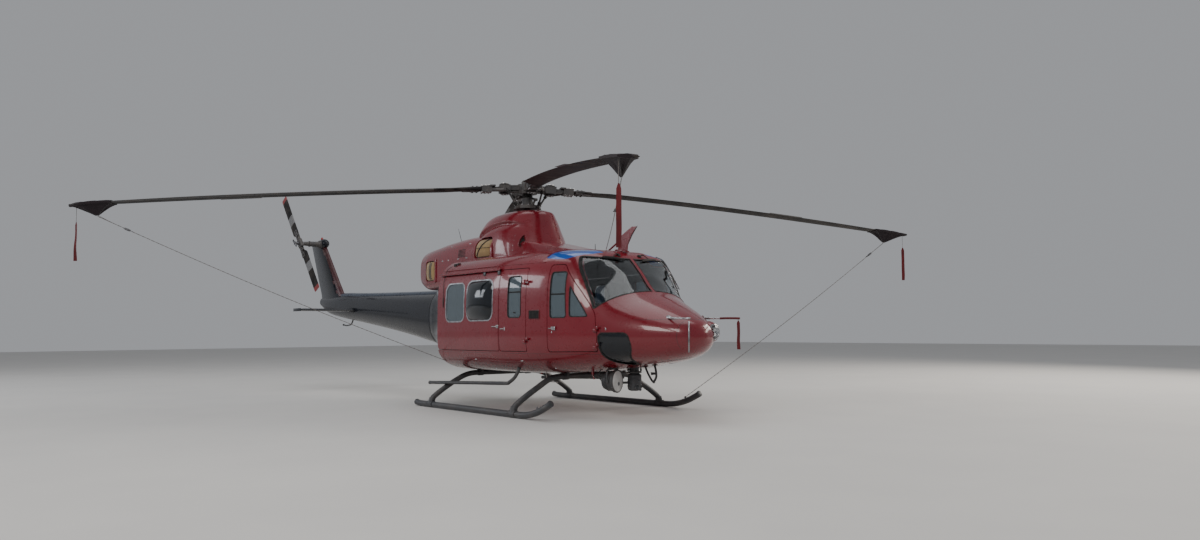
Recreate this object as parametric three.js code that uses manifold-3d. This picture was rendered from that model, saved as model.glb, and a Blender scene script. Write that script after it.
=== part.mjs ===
// Twin-engine utility helicopter with four main blades, parked on its skids.
// Millimetres. +X runs forward to the nose, +Y to port, +Z up, with the ground at z = 0.
// Every place below is counted from the rotor mast, and the whole group is moved at the end.
import * as THREE from 'three';
import { mergeVertices } from 'three/addons/utils/BufferGeometryUtils.js';
import Module from 'manifold-3d';

const wasm = await Module();
wasm.setup();

// Driving dimensions

const mastX = 1600;
const seat = 0.3;
const wall = 45;
const doorGap = 7;

const hubHeight = 3640;
const rotorRadius = 7010;
const bladeRootRadius = 780;
const firstBladeAngle = -25.8;

const tailHub = { x: -8810, y: -590, z: 3380 };
const tailRotorRadius = 1295;
const tailBladeChord = 290;
const tailBladeLean = 25;
const tailTeeter = 9;

const skidHalfWidth = 1420;
const skidTubeRadius = 46;
const crossTubeRadius = 44;
const frontCrossX = 1700;
const rearCrossX = -700;

const floorTop = 900;
const floorThickness = 60;
const sill = 930;
const doorTop = 2140;
const cabinRear = -700;
const boomFront = -2690;

// Body sections from the nose to the rear door post:
// station, half width, height of the widest line, top, bottom, upper and lower roundness
const cabinSections = [
  [4130, 40, 1150, 1185, 1115, 2.0, 2.0],
  [4085, 195, 1150, 1300, 1005, 2.0, 2.1],
  [3960, 350, 1150, 1390, 905, 2.1, 2.2],
  [3700, 545, 1155, 1520, 828, 2.1, 2.4],
  [3400, 720, 1165, 1655, 775, 2.1, 2.6],
  [3130, 850, 1180, 1785, 745, 2.1, 2.8],
  [2870, 950, 1200, 2065, 705, 2.1, 3.0],
  [2690, 1020, 1205, 2245, 680, 2.6, 3.2],
  [2570, 1060, 1210, 2345, 665, 3.3, 3.3],
  [2420, 1100, 1215, 2400, 645, 4.1, 3.4],
  [2100, 1180, 1225, 2430, 620, 4.6, 3.5],
  [1600, 1260, 1240, 2445, 595, 4.8, 3.6],
  [900, 1310, 1250, 2450, 580, 4.8, 3.6],
  [cabinRear - 30, 1310, 1250, 2450, 580, 4.8, 3.6],
];

// The rear body steps in by more than a door, so that the sliding doors pass outside it
const rearSections = [
  [cabinRear - 30 - seat, 1244, 1250, 2420, 590, 4.6, 3.4],
  [-900, 1150, 1255, 2410, 610, 4.2, 3.2],
  [-1300, 1000, 1290, 2370, 670, 3.6, 2.9],
  [-1900, 735, 1370, 2250, 780, 3.0, 2.6],
  [-2400, 500, 1450, 2120, 905, 2.7, 2.4],
  [boomFront, 400, 1490, 2010, 965, 2.5, 2.3],
];

const boomSections = [
  [boomFront - seat, 395, 1490, 2005, 970, 2.4, 2.3],
  [-4400, 310, 1610, 2040, 1215, 2.4, 2.2],
  [-6200, 235, 1730, 2085, 1425, 2.4, 2.2],
  [-7600, 175, 1830, 2130, 1575, 2.4, 2.2],
  [-8300, 130, 1880, 2110, 1680, 2.2, 2.1],
  [-8860, 60, 1960, 2060, 1880, 2.0, 2.0],
];

const cowlSections = [
  [420, 500, 2480, 2700, 2250, 3.2, 8.0],
  [100, 590, 2480, 2800, 2250, 3.4, 8.0],
  [-500, 625, 2460, 2870, 2200, 3.4, 8.0],
  [-1000, 620, 2440, 2900, 2150, 3.4, 8.0],
  [-1800, 590, 2420, 2870, 2050, 3.2, 8.0],
  [-2500, 540, 2400, 2810, 2000, 3.0, 8.0],
  [-2900, 470, 2400, 2790, 2050, 2.6, 4.0],
];

// The fairing round the mast is a stack of plan rings:
// height, front end, rear end, half width, roundness in front and behind
const fairingRings = [
  [2440, 880, -1120, 600, 2.0, 2.8],
  [2630, 810, -1060, 590, 2.0, 2.8],
  [2880, 700, -1050, 540, 2.0, 2.8],
  [3080, 620, -940, 450, 2.0, 2.7],
  [3180, 560, -790, 370, 2.1, 2.6],
  [3225, 430, -560, 290, 2.2, 2.5],
];

// Materials

const paint = (name, color, roughness, metalness) => {
  const material = new THREE.MeshStandardMaterial({ color, roughness, metalness });
  material.name = name;
  return material;
};

const materials = {
  red: paint('red_paint', 0x8c1220, 0.3, 0.1),
  slate: paint('slate_paint', 0x20262e, 0.35, 0.1),
  steel: paint('dark_steel', 0x2b2c30, 0.45, 0.6),
  blade: paint('blade_skin', 0x1b1a1d, 0.5, 0.2),
  cover: paint('tan_cover', 0x9b8057, 0.85, 0.0),
  sock: paint('dark_cloth', 0x23202a, 0.9, 0.0),
  glass: paint('window_glass', 0x33404c, 0.05, 0.0),
  bubble: paint('dark_bubble', 0x1c2230, 0.05, 0.0),
  seat: paint('seat_cloth', 0x2a2c31, 0.9, 0.0),
  trim: paint('cabin_trim', 0x4a4c4f, 0.8, 0.0),
  white: paint('white_paint', 0xd8dadc, 0.4, 0.0),
  engine: paint('engine_metal', 0x6d6f72, 0.5, 0.8),
};

// Solids

function solidOf(geometry) {
  const bare = geometry.index ? geometry.toNonIndexed() : geometry.clone();
  bare.deleteAttribute('normal');
  bare.deleteAttribute('uv');
  const merged = mergeVertices(bare, 1e-3);
  return new wasm.Manifold(new wasm.Mesh({
    numProp: 3,
    vertProperties: new Float32Array(merged.attributes.position.array),
    triVerts: new Uint32Array(merged.index.array),
  }));
}

function geometryOf(solid) {
  const mesh = solid.getMesh();
  const geometry = new THREE.BufferGeometry();
  geometry.setAttribute('position', new THREE.BufferAttribute(new Float32Array(mesh.vertProperties), 3));
  geometry.setIndex(new THREE.BufferAttribute(new Uint32Array(mesh.triVerts), 1));
  geometry.computeVertexNormals();
  return geometry;
}

const unite = (...solids) => solids.reduce((sum, next) => sum.add(next));
const mirrored = (solid) => solid.mirror([0, 1, 0]);

function block(x0, x1, y0, y1, z0, z1) {
  const geometry = new THREE.BoxGeometry(x1 - x0, y1 - y0, z1 - z0);
  geometry.translate((x0 + x1) / 2, (y0 + y1) / 2, (z0 + z1) / 2);
  return solidOf(geometry);
}

// A round bar between two points, or a cone where the radii differ
function bar(from, to, radius, farRadius = radius, sides = 12) {
  const start = new THREE.Vector3(...from);
  const end = new THREE.Vector3(...to);
  const along = end.clone().sub(start);
  const geometry = new THREE.CylinderGeometry(farRadius, radius, along.length(), sides);
  const direction = along.clone().normalize();
  const turn = new THREE.Quaternion().setFromUnitVectors(new THREE.Vector3(0, 1, 0), direction);
  geometry.applyQuaternion(turn);
  const middle = start.add(end).multiplyScalar(0.5);
  geometry.translate(middle.x, middle.y, middle.z);
  return solidOf(geometry);
}

function ball(centre, radii, across = 12, down = 8) {
  const geometry = new THREE.SphereGeometry(1, across, down);
  geometry.scale(...radii);
  geometry.translate(...centre);
  return solidOf(geometry);
}

// A round tube along a smooth path
function tube(points, radius, steps, sides = 10) {
  const section = new THREE.Shape();
  section.absarc(0, 0, radius, 0, 2 * Math.PI);
  const path = new THREE.CatmullRomCurve3(points.map((p) => new THREE.Vector3(...p)), false, 'centripetal');
  const options = { steps, bevelEnabled: false, extrudePath: path, curveSegments: sides / 2 };
  return solidOf(new THREE.ExtrudeGeometry(section, options));
}

// A closed body through rings that all have the same number of points
function loft(rings) {
  const count = rings[0].length;
  const points = rings.flat();
  const faces = [];
  for (let row = 0; row < rings.length - 1; row += 1) {
    for (let i = 0; i < count; i += 1) {
      const a = row * count + i;
      const b = row * count + ((i + 1) % count);
      faces.push(a, b, a + count, b, b + count, a + count);
    }
  }
  const last = (rings.length - 1) * count;
  const addCap = (first, flip) => {
    const centre = new THREE.Vector3();
    for (let i = 0; i < count; i += 1) centre.add(new THREE.Vector3(...points[first + i]));
    points.push(centre.divideScalar(count).toArray());
    const hub = points.length - 1;
    for (let i = 0; i < count; i += 1) {
      const a = first + i;
      const b = first + ((i + 1) % count);
      faces.push(...(flip ? [hub, b, a] : [hub, a, b]));
    }
  };
  addCap(0, true);
  addCap(last, false);
  return orientedSolid(points, faces);
}

// Turns the faces round where the body would come out inside out
function orientedSolid(points, faces) {
  let volume = 0;
  for (let i = 0; i < faces.length; i += 3) {
    const [a, b, c] = [0, 1, 2].map((k) => new THREE.Vector3(...points[faces[i + k]]));
    volume += a.dot(b.cross(c));
  }
  const turned = [];
  for (let i = 0; i < faces.length; i += 3) {
    const [a, b, c] = faces.slice(i, i + 3);
    turned.push(...(volume < 0 ? [a, c, b] : [a, b, c]));
  }
  const geometry = new THREE.BufferGeometry();
  geometry.setAttribute('position', new THREE.Float32BufferAttribute(points.flat(), 3));
  geometry.setIndex(turned);
  return solidOf(geometry);
}

const signedPower = (value, power) => Math.sign(value) * Math.abs(value) ** power;

// A body ring across X, made of a rounder or squarer upper and lower half
function bodyRing([x, half, waist, top, bottom, upper, lower], inset, count) {
  const ring = [];
  for (let i = 0; i < count; i += 1) {
    const angle = (2 * Math.PI * (i + 0.5)) / count - Math.PI / 2;
    const roundness = Math.sin(angle) > 0 ? upper : lower;
    const height = Math.sin(angle) > 0 ? top - waist - inset : waist - bottom - inset;
    const y = Math.max(half - inset, 5) * signedPower(Math.cos(angle), 2 / roundness);
    const z = waist + Math.max(height, 5) * signedPower(Math.sin(angle), 2 / roundness);
    ring.push([x, y, z]);
  }
  return ring;
}

function bodyLoft(sections, inset = 0, count = 28) {
  return loft(sections.map((section) => bodyRing(section, inset, count)));
}

// A plan ring at one height
function planRing([z, front, rear, half, ahead, behind], inset, count) {
  const middle = (front + rear) / 2;
  const reach = (front - rear) / 2 - inset;
  const ring = [];
  for (let i = 0; i < count; i += 1) {
    const angle = (2 * Math.PI * (i + 0.5)) / count;
    const roundness = Math.cos(angle) > 0 ? ahead : behind;
    const x = middle + reach * signedPower(Math.cos(angle), 2 / roundness);
    ring.push([x, (half - inset) * signedPower(Math.sin(angle), 2 / roundness), z - inset]);
  }
  return ring;
}

// Moves each edge of an outline inwards by the same distance
function shrink(outline, distance) {
  const area = THREE.ShapeUtils.area(outline.map(([x, z]) => new THREE.Vector2(x, z)));
  const side = Math.sign(area) * distance;
  const edges = outline.map(([x, z], i) => {
    const [nx, nz] = outline[(i + 1) % outline.length];
    const length = Math.hypot(nx - x, nz - z);
    const dx = (nx - x) / length;
    const dz = (nz - z) / length;
    return { x: x - dz * side, z: z + dx * side, dx, dz };
  });
  return edges.map((edge, i) => {
    const before = edges[(i + edges.length - 1) % edges.length];
    const cross = before.dx * edge.dz - before.dz * edge.dx;
    const t = ((edge.x - before.x) * edge.dz - (edge.z - before.z) * edge.dx) / cross;
    return [before.x + before.dx * t, before.z + before.dz * t];
  });
}

function roundedShape(outline, radius) {
  const shape = new THREE.Shape();
  outline.forEach(([x, z], i) => {
    const before = outline[(i + outline.length - 1) % outline.length];
    const after = outline[(i + 1) % outline.length];
    const towards = ([px, pz]) => {
      const length = Math.hypot(px - x, pz - z);
      const share = Math.min(radius, length * 0.45) / length;
      return [x + (px - x) * share, z + (pz - z) * share];
    };
    const enter = towards(before);
    const leave = towards(after);
    if (i === 0) shape.moveTo(...enter);
    else shape.lineTo(...enter);
    if (radius > 0) shape.quadraticCurveTo(x, z, ...leave);
  });
  shape.closePath();
  return shape;
}

// A side view outline carried across from one y to another
function sidePrism(outline, radius, y0, y1) {
  const options = { depth: Math.abs(y1 - y0), bevelEnabled: false, curveSegments: 3 };
  const geometry = new THREE.ExtrudeGeometry(roundedShape(outline, radius), options);
  geometry.rotateX(Math.PI / 2);
  geometry.translate(0, Math.max(y0, y1), 0);
  return solidOf(geometry);
}

// A plan outline carried up from one height to another
function planPrism(outline, radius, z0, z1) {
  const options = { depth: z1 - z0, bevelEnabled: false, curveSegments: 3 };
  const geometry = new THREE.ExtrudeGeometry(roundedShape(outline, radius), options);
  geometry.translate(0, 0, z0);
  return solidOf(geometry);
}

// The assembly

const helicopter = new THREE.Group();
helicopter.name = 'helicopter';
helicopter.position.set(mastX, 0, 0);

function add(name, material, solid, parent = helicopter) {
  const mesh = new THREE.Mesh(geometryOf(solid), material);
  mesh.name = name;
  parent.add(mesh);
  return mesh;
}

function addPair(name, material, rightSolid) {
  add(`${name}_right`, material, rightSolid);
  add(`${name}_left`, material, mirrored(rightSolid));
}

// Cabin shell

const bodyOuter = bodyLoft(cabinSections);
const bodyInner = bodyLoft(cabinSections, wall);
const insideEnd = block(cabinRear - 32, 4045, -1400, 1400, 500, 2600);
const cabinWall = bodyOuter.subtract(bodyInner.intersect(insideEnd));

const windshieldFoot = [2880, 1530];
const windshieldHead = [2485, 2285];
const windshieldOutline = [
  windshieldFoot, windshieldHead, [2660, 2262], [3050, 2262], [3600, 2000], [3130, 1782],
];
const crewDoorOutline = [
  [2170, sill], [2960, sill + 10], [2985, 1180], [2925, 1450], [2395, doorTop + 30], [2170, doorTop + 30],
];
const panelDoorOutline = [[1130, sill], [1760, sill], [1760, doorTop + 10], [1130, doorTop + 10]];
const slidingDoorOutline = [[cabinRear - 20, sill], [1122, sill], [1122, doorTop], [cabinRear - 20, doorTop]];
const slidingDoorway = [[cabinRear - 90, sill], [1122, sill], [1122, doorTop], [cabinRear - 90, doorTop]];

const crewWindowOutline = [[2225, 1415], [2500, 1415], [2460, 2060], [2225, 2060]];
const quarterWindowOutline = [[2560, 1425], [2820, 1425], [2540, 1850]];
const panelWindowOutline = [[1350, 1430], [1640, 1430], [1640, 2030], [1350, 2030]];
const bubbleWindowOutline = [[220, 1400], [960, 1400], [960, 2010], [220, 2010]];
const rearWindowOutline = [[-430, 1390], [130, 1390], [130, 1990], [-430, 1990]];
const chinWindowOutline = [[2995, 840], [3100, 745], [3250, 775], [3430, 1000], [3390, 1195], [2995, 1195]];
const roofWindowOutline = [
  [1960, 400], [2540, 400], [2520, 640], [2430, 850], [2330, 950], [2150, 1010], [1960, 1030],
];

const nearSide = [-300, -1500];
const side = (outline, radius) => sidePrism(outline, radius, ...nearSide);
const bothSides = (solid) => solid.add(mirrored(solid));

const windshieldPanes = sidePrism(windshieldOutline, 0, 40, 1200);
const openings = unite(
  bothSides(windshieldPanes),
  bothSides(side(crewDoorOutline, 40)),
  bothSides(side(panelDoorOutline, 30)),
  bothSides(side(slidingDoorway, 30)),
  bothSides(side(chinWindowOutline, 60)),
  bothSides(planPrism(roofWindowOutline, 50, 2190, 2600)),
);

// Each hinged door hangs on two stacked pairs of lugs outside its front edge.
// A root is the stretch of x where a lug is sunk into its door or post.
const lugHeight = 36;
const crewHinge = {
  x: 2990, y: -940, heights: [985, 1215], doorRoot: [2920, 2953], frameRoot: [2974, 2992],
};
const panelHinge = {
  x: 1760, y: -1260, heights: [1060, 1900], doorRoot: [1690, 1747], frameRoot: [1775, 1831],
};

function hingeLug({ x, y }, base, [start, end]) {
  const top = base + lugHeight;
  const pin = bar([x, y, base], [x, y, top], 13, 13, 12);
  const strap = block(Math.min(start, x), Math.max(end, x), y - 8, y + 18, base, top);
  return unite(pin, strap, block(start, end, y, y + 70, base, top));
}

const doorLugs = (hinge) => unite(...hinge.heights.map((base) => hingeLug(hinge, base, hinge.doorRoot)));
const frameLugs = (hinge) => unite(
  ...hinge.heights.map((base) => hingeLug(hinge, base + lugHeight + seat, hinge.frameRoot)),
);

// The sliding doors hang from a rail over the doorway
const railBottom = 2152;
const doorRail = block(cabinRear - 25, 1120, -1268, -1205, railBottom, railBottom + 20);
const doorHanger = (x) => unite(
  block(x, x + 60, -1268, -1225, 2080, 2128),
  block(x, x + 60, -1268, -1244, 2110, railBottom - seat),
);
const doorHangers = unite(doorHanger(1045), doorHanger(640));

const fittings = bothSides(unite(frameLugs(crewHinge), frameLugs(panelHinge), doorRail));
const openWall = cabinWall.subtract(openings).add(fittings);

// The nose meets the cabin ahead of the crew doors, and the belly ends at the sills
const noseSplit = [
  [3030, 400], [3030, 1300], [2960, 1500], [2700, 1450], [2700, 1790], [4300, 1790], [4300, 400],
];
const noseRegion = sidePrism(noseSplit, 0, -1500, 1500).subtract(fittings);
const bellyRegion = block(cabinRear - 40, 3030 - seat, -1500, 1500, 400, sill - 30);
const frameRegion = block(cabinRear - 40, 3400, -1500, 1500, sill - 30 + seat, 2700);
const noseGap = sidePrism(shrink(noseSplit, -seat), 0, -1500, 1500);

// The roof with the windshield's centre post is one piece, and the door posts of each side are another
const roofBottom = 2180;
const roofRegion = unite(
  block(cabinRear - 40, 3400, -1500, 1500, roofBottom, 2700),
  block(2500, 3400, -45, 45, 1500, 2700),
);
const rightSideRegion = block(cabinRear - 40, 3400, -1500, -45 - seat, 800, roofBottom - seat);

function noseShell() {
  const lampHousing = bar([3960, 250, 1185], [4080, 250, 1185], 95, 75, 16);
  return openWall.intersect(noseRegion).add(lampHousing);
}

add('nose_shell', materials.red, noseShell());
add('cabin_belly', materials.red, openWall.intersect(bellyRegion));
const cabinFrame = openWall.intersect(frameRegion).subtract(noseGap);
add('cabin_roof', materials.red, cabinFrame.intersect(roofRegion));
addPair('cabin_side', materials.red, cabinFrame.intersect(rightSideRegion));

function cabinFloor() {
  const room = bodyLoft(cabinSections, wall + seat);
  return room.intersect(block(cabinRear - 29, 3020, -1400, 1400, floorTop - floorThickness, floorTop - seat));
}

add('cabin_floor', materials.trim, cabinFloor());

// Glass: each pane lies in the middle of the wall it fills
const glassOuter = bodyLoft(cabinSections, 12);
const glassInner = bodyLoft(cabinSections, 20);
const glassSkin = glassOuter.subtract(glassInner);
const pane = (prism) => glassSkin.intersect(prism);

const windshieldPane = sidePrism(shrink(windshieldOutline, seat), 0, 40 + seat, 1200);
add('windshield_left', materials.glass, pane(windshieldPane));
add('windshield_right', materials.glass, mirrored(pane(windshieldPane)));

// Doors

function door(outline, radius, windows, fitting) {
  const panel = cabinWall.intersect(side(shrink(outline, doorGap), radius)).add(fitting);
  return windows.reduce((rest, [window, corner]) => rest.subtract(side(window, corner)), panel);
}

const crewPanes = [[crewWindowOutline, 40], [quarterWindowOutline, 40]];
const slidingPanes = [[bubbleWindowOutline, 110], [rearWindowOutline, 110]];
const crewDoor = door(crewDoorOutline, 35, crewPanes, doorLugs(crewHinge));
const panelDoor = door(panelDoorOutline, 25, [[panelWindowOutline, 50]], doorLugs(panelHinge));
const slidingDoor = door(slidingDoorOutline, 25, slidingPanes, doorHangers);
addPair('crew_door', materials.red, crewDoor);
addPair('panel_door', materials.red, panelDoor);
addPair('sliding_door', materials.red, slidingDoor);

addPair('crew_window', materials.glass, pane(side(shrink(crewWindowOutline, seat), 40)));
addPair('panel_window', materials.glass, pane(side(shrink(panelWindowOutline, seat), 50)));
addPair('rear_window', materials.glass, pane(side(shrink(rearWindowOutline, seat), 110)));

// The bubble window swells outwards from its frame
function bubbleWindow() {
  const swell = ball([590, -1215, 1705], [380, 190, 320], 12, 7);
  const hollow = ball([590, -1215, 1705], [372, 182, 312], 12, 7);
  const flat = pane(side(shrink(bubbleWindowOutline, seat), 110));
  const inFrame = side(shrink(bubbleWindowOutline, seat), 110);
  return flat.add(swell.intersect(inFrame)).subtract(hollow).subtract(glassInner);
}

addPair('bubble_window', materials.bubble, bubbleWindow());

// Rear body, hollow, with a firewall in front and open to the boom behind

function rearBody() {
  const outer = bodyLoft(rearSections);
  const inner = bodyLoft(rearSections, wall);
  const room = block(-2800, rearSections[0][0] - wall, -1400, 1400, 500, 2600);
  const bilge = block(-2000, -1100, -300, 300, 600, 900);
  return outer.subtract(inner.intersect(room)).subtract(bilge.intersect(inner));
}

add('rear_body', materials.red, rearBody());

// Tail boom, fin and stabiliser

function finSection(x, chord, half, z) {
  const shape = [[0, 0], [0.12, 0.75], [0.35, 1], [0.7, 0.7], [1, 0.12]];
  const lower = shape.slice(1).reverse();
  const upperSide = shape.map(([u, v]) => [x - u * chord, v * half, z]);
  const lowerSide = lower.map(([u, v]) => [x - u * chord, -v * half, z]);
  return [...upperSide, ...lowerSide];
}

const finStations = [
  [-7560, 1330, 100, 2060],
  [-7900, 1180, 92, 2450],
  [-8420, 960, 80, 3020],
  [-8780, 800, 70, 3400],
  [-8880, 720, 50, 3470],
];

function tailBoom() {
  const outer = bodyLoft(boomSections, 0, 24);
  const inner = bodyLoft(boomSections, 30, 24);
  const room = block(-8200, boomFront + 10, -500, 500, 900, 2300);
  const skid = tube([[-7000, 0, 1530], [-7120, 0, 1420], [-7420, 0, 1385], [-7560, 0, 1400]], 16, 10, 8);
  return outer.subtract(inner.intersect(room)).add(skid.subtract(inner));
}

const tailBoomSolid = tailBoom();
add('tail_boom', materials.slate, tailBoomSolid);

function tailFin() {
  const fin = loft(finStations.map((station) => finSection(...station)));
  const gearbox = ball([-8830, 0, 3400], [230, 110, 120], 16, 10);
  const shaft = bar([tailHub.x, 0, tailHub.z], [tailHub.x, tailHub.y + 70, tailHub.z], 60, 42, 12);
  const boomSpace = bodyLoft(boomSections, -seat, 24);
  return unite(fin, gearbox, shaft).subtract(boomSpace);
}

add('tail_fin', materials.slate, tailFin());

const stabiliserSpan = 1435;
const stabiliserChord = 480;
const stabiliserFront = -6430;
const stabiliserHeight = 1720;

function stabiliserHalf() {
  const section = (y) => finSection(stabiliserFront, stabiliserChord, 30, 0).map(([x, t]) => (
    [x, y, stabiliserHeight + t]
  ));
  return loft([section(-stabiliserSpan), section(-20)]);
}

const boomSpace = bodyLoft(boomSections, -seat, 24);
add('stabiliser_right', materials.slate, stabiliserHalf().subtract(boomSpace));
add('stabiliser_left', materials.slate, mirrored(stabiliserHalf()).subtract(boomSpace));

// Engines, gearbox and their covers

const bodySpace = unite(bodyLoft(cabinSections), bodyLoft(rearSections)).translate([0, 0, seat]);

// The intake and exhaust mouths are trays in the cowl, each filled by a soft cover
const intakeOutline = [[-665, 2465], [-185, 2465], [-225, 2795], [-645, 2795]];
const exhaustOutline = [[-2535, 2160], [-2150, 2160], [-2150, 2530], [-2535, 2530]];
const trayRim = 35;
const cowlSkin = (from, to) => bodyLoft(cowlSections, from, 20).subtract(bodyLoft(cowlSections, to, 20));

function intakeTray() {
  const frame = sidePrism(shrink(intakeOutline, -trayRim), 70, -440, -800).intersect(cowlSkin(0, 70));
  return frame.subtract(side(intakeOutline, 60).intersect(cowlSkin(-30, 40)));
}

function exhaustTray() {
  const frame = sidePrism(shrink(exhaustOutline, -trayRim), 90, -405, -580);
  return frame.subtract(sidePrism(exhaustOutline, 80, -440, -700));
}

function engineCowl() {
  const outer = bodyLoft(cowlSections, 0, 20);
  const inner = bodyLoft(cowlSections, 40, 20);
  const room = block(-2860, 380, -700, 700, 1900, 3000);
  const below = inner.translate([0, 0, -400]);
  const tailpipe = bar([-2600, 0, 2560], [-3110, 0, 2660], 175, 150, 16);
  const bore = bar([-2590, 0, 2558], [-3120, 0, 2662], 150, 125, 16);
  const mouths = unite(side(intakeOutline, 60), sidePrism(exhaustOutline, 80, -440, -700));
  const behindTrays = block(-4000, -190, -800, 800, 1900, 3000);
  return unite(outer, tailpipe)
    .subtract(unite(inner, below).intersect(room))
    .subtract(bore)
    .subtract(bothSides(mouths))
    .intersect(behindTrays)
    .subtract(fairingSpace)
    .add(bothSides(unite(intakeTray(), exhaustTray())))
    .subtract(bodySpace);
}

const fairingSpace = unite(
  loft(fairingRings.map((ring) => planRing(ring, -seat, 24))),
  loft(fairingRings.map((ring) => planRing(ring, 0, 24))).translate([0, 0, -300]),
);

const rampHalf = 400;

function mastFairing() {
  const outer = loft(fairingRings.map((ring) => planRing(ring, 0, 24)));
  const inner = loft(fairingRings.map((ring) => planRing(ring, 40, 24)));
  const below = inner.translate([0, 0, -300]);
  const mastHole = bar([0, 0, 3100], [0, 0, 3400], 150, 150, 24);
  const rampSide = [[500, 2300], [500, 2710], [1050, 2625], [1950, 2445], [1950, 2300]];
  const rampRoomSide = [[700, 2300], [700, 2640], [1040, 2580], [1500, 2480], [1500, 2300]];
  const ramp = sidePrism(rampSide, 0, -rampHalf, rampHalf);
  const rampRoom = sidePrism(rampRoomSide, 0, 40 - rampHalf, rampHalf - 40);
  const intakes = bothSides(side(shrink(intakeOutline, -trayRim - seat), 70));
  return unite(outer, ramp)
    .subtract(unite(inner, below, rampRoom, mastHole, intakes))
    .subtract(bodySpace);
}

add('mast_fairing', materials.red, mastFairing());
add('engine_cowl', materials.red, engineCowl());

function coverPad(outline, radius, y0, y1) {
  return sidePrism(shrink(outline, 2), radius, y0, y1);
}

const intakeCover = coverPad(intakeOutline, 60, -440, -660).intersect(cowlSkin(-14, 40 - seat));
addPair('intake_cover', materials.cover, intakeCover);
addPair('exhaust_cover', materials.cover, coverPad(exhaustOutline, 80, -440 - seat, -600));

const engineSpan = [-2250, -1180, -350, 350, 2200, 2690];
const gearboxSpan = [-360, 420, -330, 330, 2400, 2860];
const gearboxTop = 3060;

add('engine_block', materials.engine, block(...engineSpan).subtract(bodySpace));
add('main_gearbox', materials.engine, unite(
  block(...gearboxSpan),
  bar([0, 0, 2800], [0, 0, gearboxTop], 290, 150, 16),
).subtract(bodySpace));

// angle from straight ahead, drop of the tip
const bladePlaces = [[0, 800], [90, 670], [180, 700], [270, 450]];

// The yoke flexes and the blade bends, so the drop grows a little faster than the radius
const sag = (radius, drop) => -drop * (0.6 * (radius / rotorRadius) + 0.4 * (radius / rotorRadius) ** 2);
const rootSlope = (drop) => THREE.MathUtils.radToDeg(Math.atan2(-sag(bladeRootRadius, drop), bladeRootRadius));

// One arm of the crossed yokes with its damper, grip, pitch horn and link
function rotorArm(drop) {
  const arm = unite(
    block(90, 840, -75, 75, -30, 30),
    block(300, 480, -120, 120, -62, 62),
    block(610, 840, -115, 115, -52, 52),
    block(330, 430, 60, 225, -45, -5),
  ).rotate([0, rootSlope(drop), 0]);
  const link = bar([190, 150, 3300 - hubHeight], [380, 205, -40], 17, 17, 8);
  const reach = block(0, bladeRootRadius - seat, -300, 300, -500, 500);
  return unite(arm, link).intersect(reach);
}

// Mast, swashplate and arms turn as one piece
function rotorHub() {
  const mast = bar([0, 0, gearboxTop + seat], [0, 0, hubHeight + 110], 62, 62, 16);
  const swashplate = bar([0, 0, 3285], [0, 0, 3345], 235, 215, 16);
  const collar = bar([0, 0, 3345], [0, 0, 3480], 100, 85, 16);
  const centre = bar([0, 0, hubHeight - 95], [0, 0, hubHeight + 70], 165, 165, 16);
  const cap = bar([0, 0, hubHeight + 60], [0, 0, hubHeight + 135], 135, 85, 16);
  const arms = bladePlaces.map(([angle, drop]) => (
    rotorArm(drop).rotate([0, 0, firstBladeAngle + angle]).translate([0, 0, hubHeight])
  ));
  return unite(mast, swashplate, collar, centre, cap, ...arms);
}

add('rotor_hub', materials.steel, rotorHub());

// radius, trailing edge, leading edge, thickness
const bladeStations = [
  [bladeRootRadius, -100, 100, 90],
  [1050, -160, 110, 70],
  [1400, -280, 120, 52],
  [2600, -280, 120, 48],
  [5000, -275, 115, 40],
  [6300, -260, 70, 30],
  [rotorRadius, -230, -20, 20],
];

// share of the chord and of the thickness round the blade's section
const bladeOutline = [
  [0, 0], [0.08, 0.8], [0.28, 1], [0.6, 0.7], [1, 0.08], [1, -0.08], [0.6, -0.7], [0.28, -1], [0.08, -0.8],
];

function bladeRing([radius, trailing, leading, thickness], drop, extra = 0) {
  const chord = leading - trailing + 2 * extra;
  const depth = thickness / 2 + extra;
  return bladeOutline.map(([u, v]) => [radius, leading + extra - u * chord, sag(radius, drop) + v * depth]);
}

const blade = (drop) => loft(bladeStations.map((station) => bladeRing(station, drop)));

// A cloth sock over the blade's tip with the three-cornered flap that the rope pulls on
const coverReach = 30;
const coverLength = 600;
const flapDepth = 190;
const flapInboard = 75;
const flapMiddle = -100;

function tipCover(drop) {
  const ends = bladeStations.slice(-2);
  const stationAt = (radius) => {
    const share = (radius - ends[0][0]) / (ends[1][0] - ends[0][0]);
    const [inner, outer] = ends;
    return inner.map((value, column) => (column === 0 ? radius : value + share * (outer[column] - value)));
  };
  const from = rotorRadius - coverLength;
  const middle = rotorRadius - coverLength / 2;
  const tip = rotorRadius + coverReach;
  const sleeve = loft([from, middle, tip].map((radius) => bladeRing(stationAt(radius), drop, 14)));
  const room = loft([ends[0][0], rotorRadius + seat].map((radius) => bladeRing(stationAt(radius), drop, seat)));
  const underside = [from, middle, tip].map((radius) => [radius, sag(radius, drop) - 6]);
  const apex = [middle - flapInboard, sag(middle, drop) - flapDepth];
  const flap = sidePrism([...underside, apex], 0, flapMiddle + 7, flapMiddle - 7);
  return unite(sleeve, flap).subtract(room);
}

bladePlaces.forEach(([angle, drop], i) => {
  const holder = new THREE.Group();
  holder.position.set(0, 0, hubHeight);
  holder.rotation.z = THREE.MathUtils.degToRad(firstBladeAngle + angle);
  helicopter.add(holder);
  add(`main_blade_${i + 1}`, materials.blade, blade(drop), holder);
  add(`tip_cover_${i + 1}`, materials.sock, tipCover(drop), holder);
});

// Tail rotor: two blades on a rocking hub, on the starboard side

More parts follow.
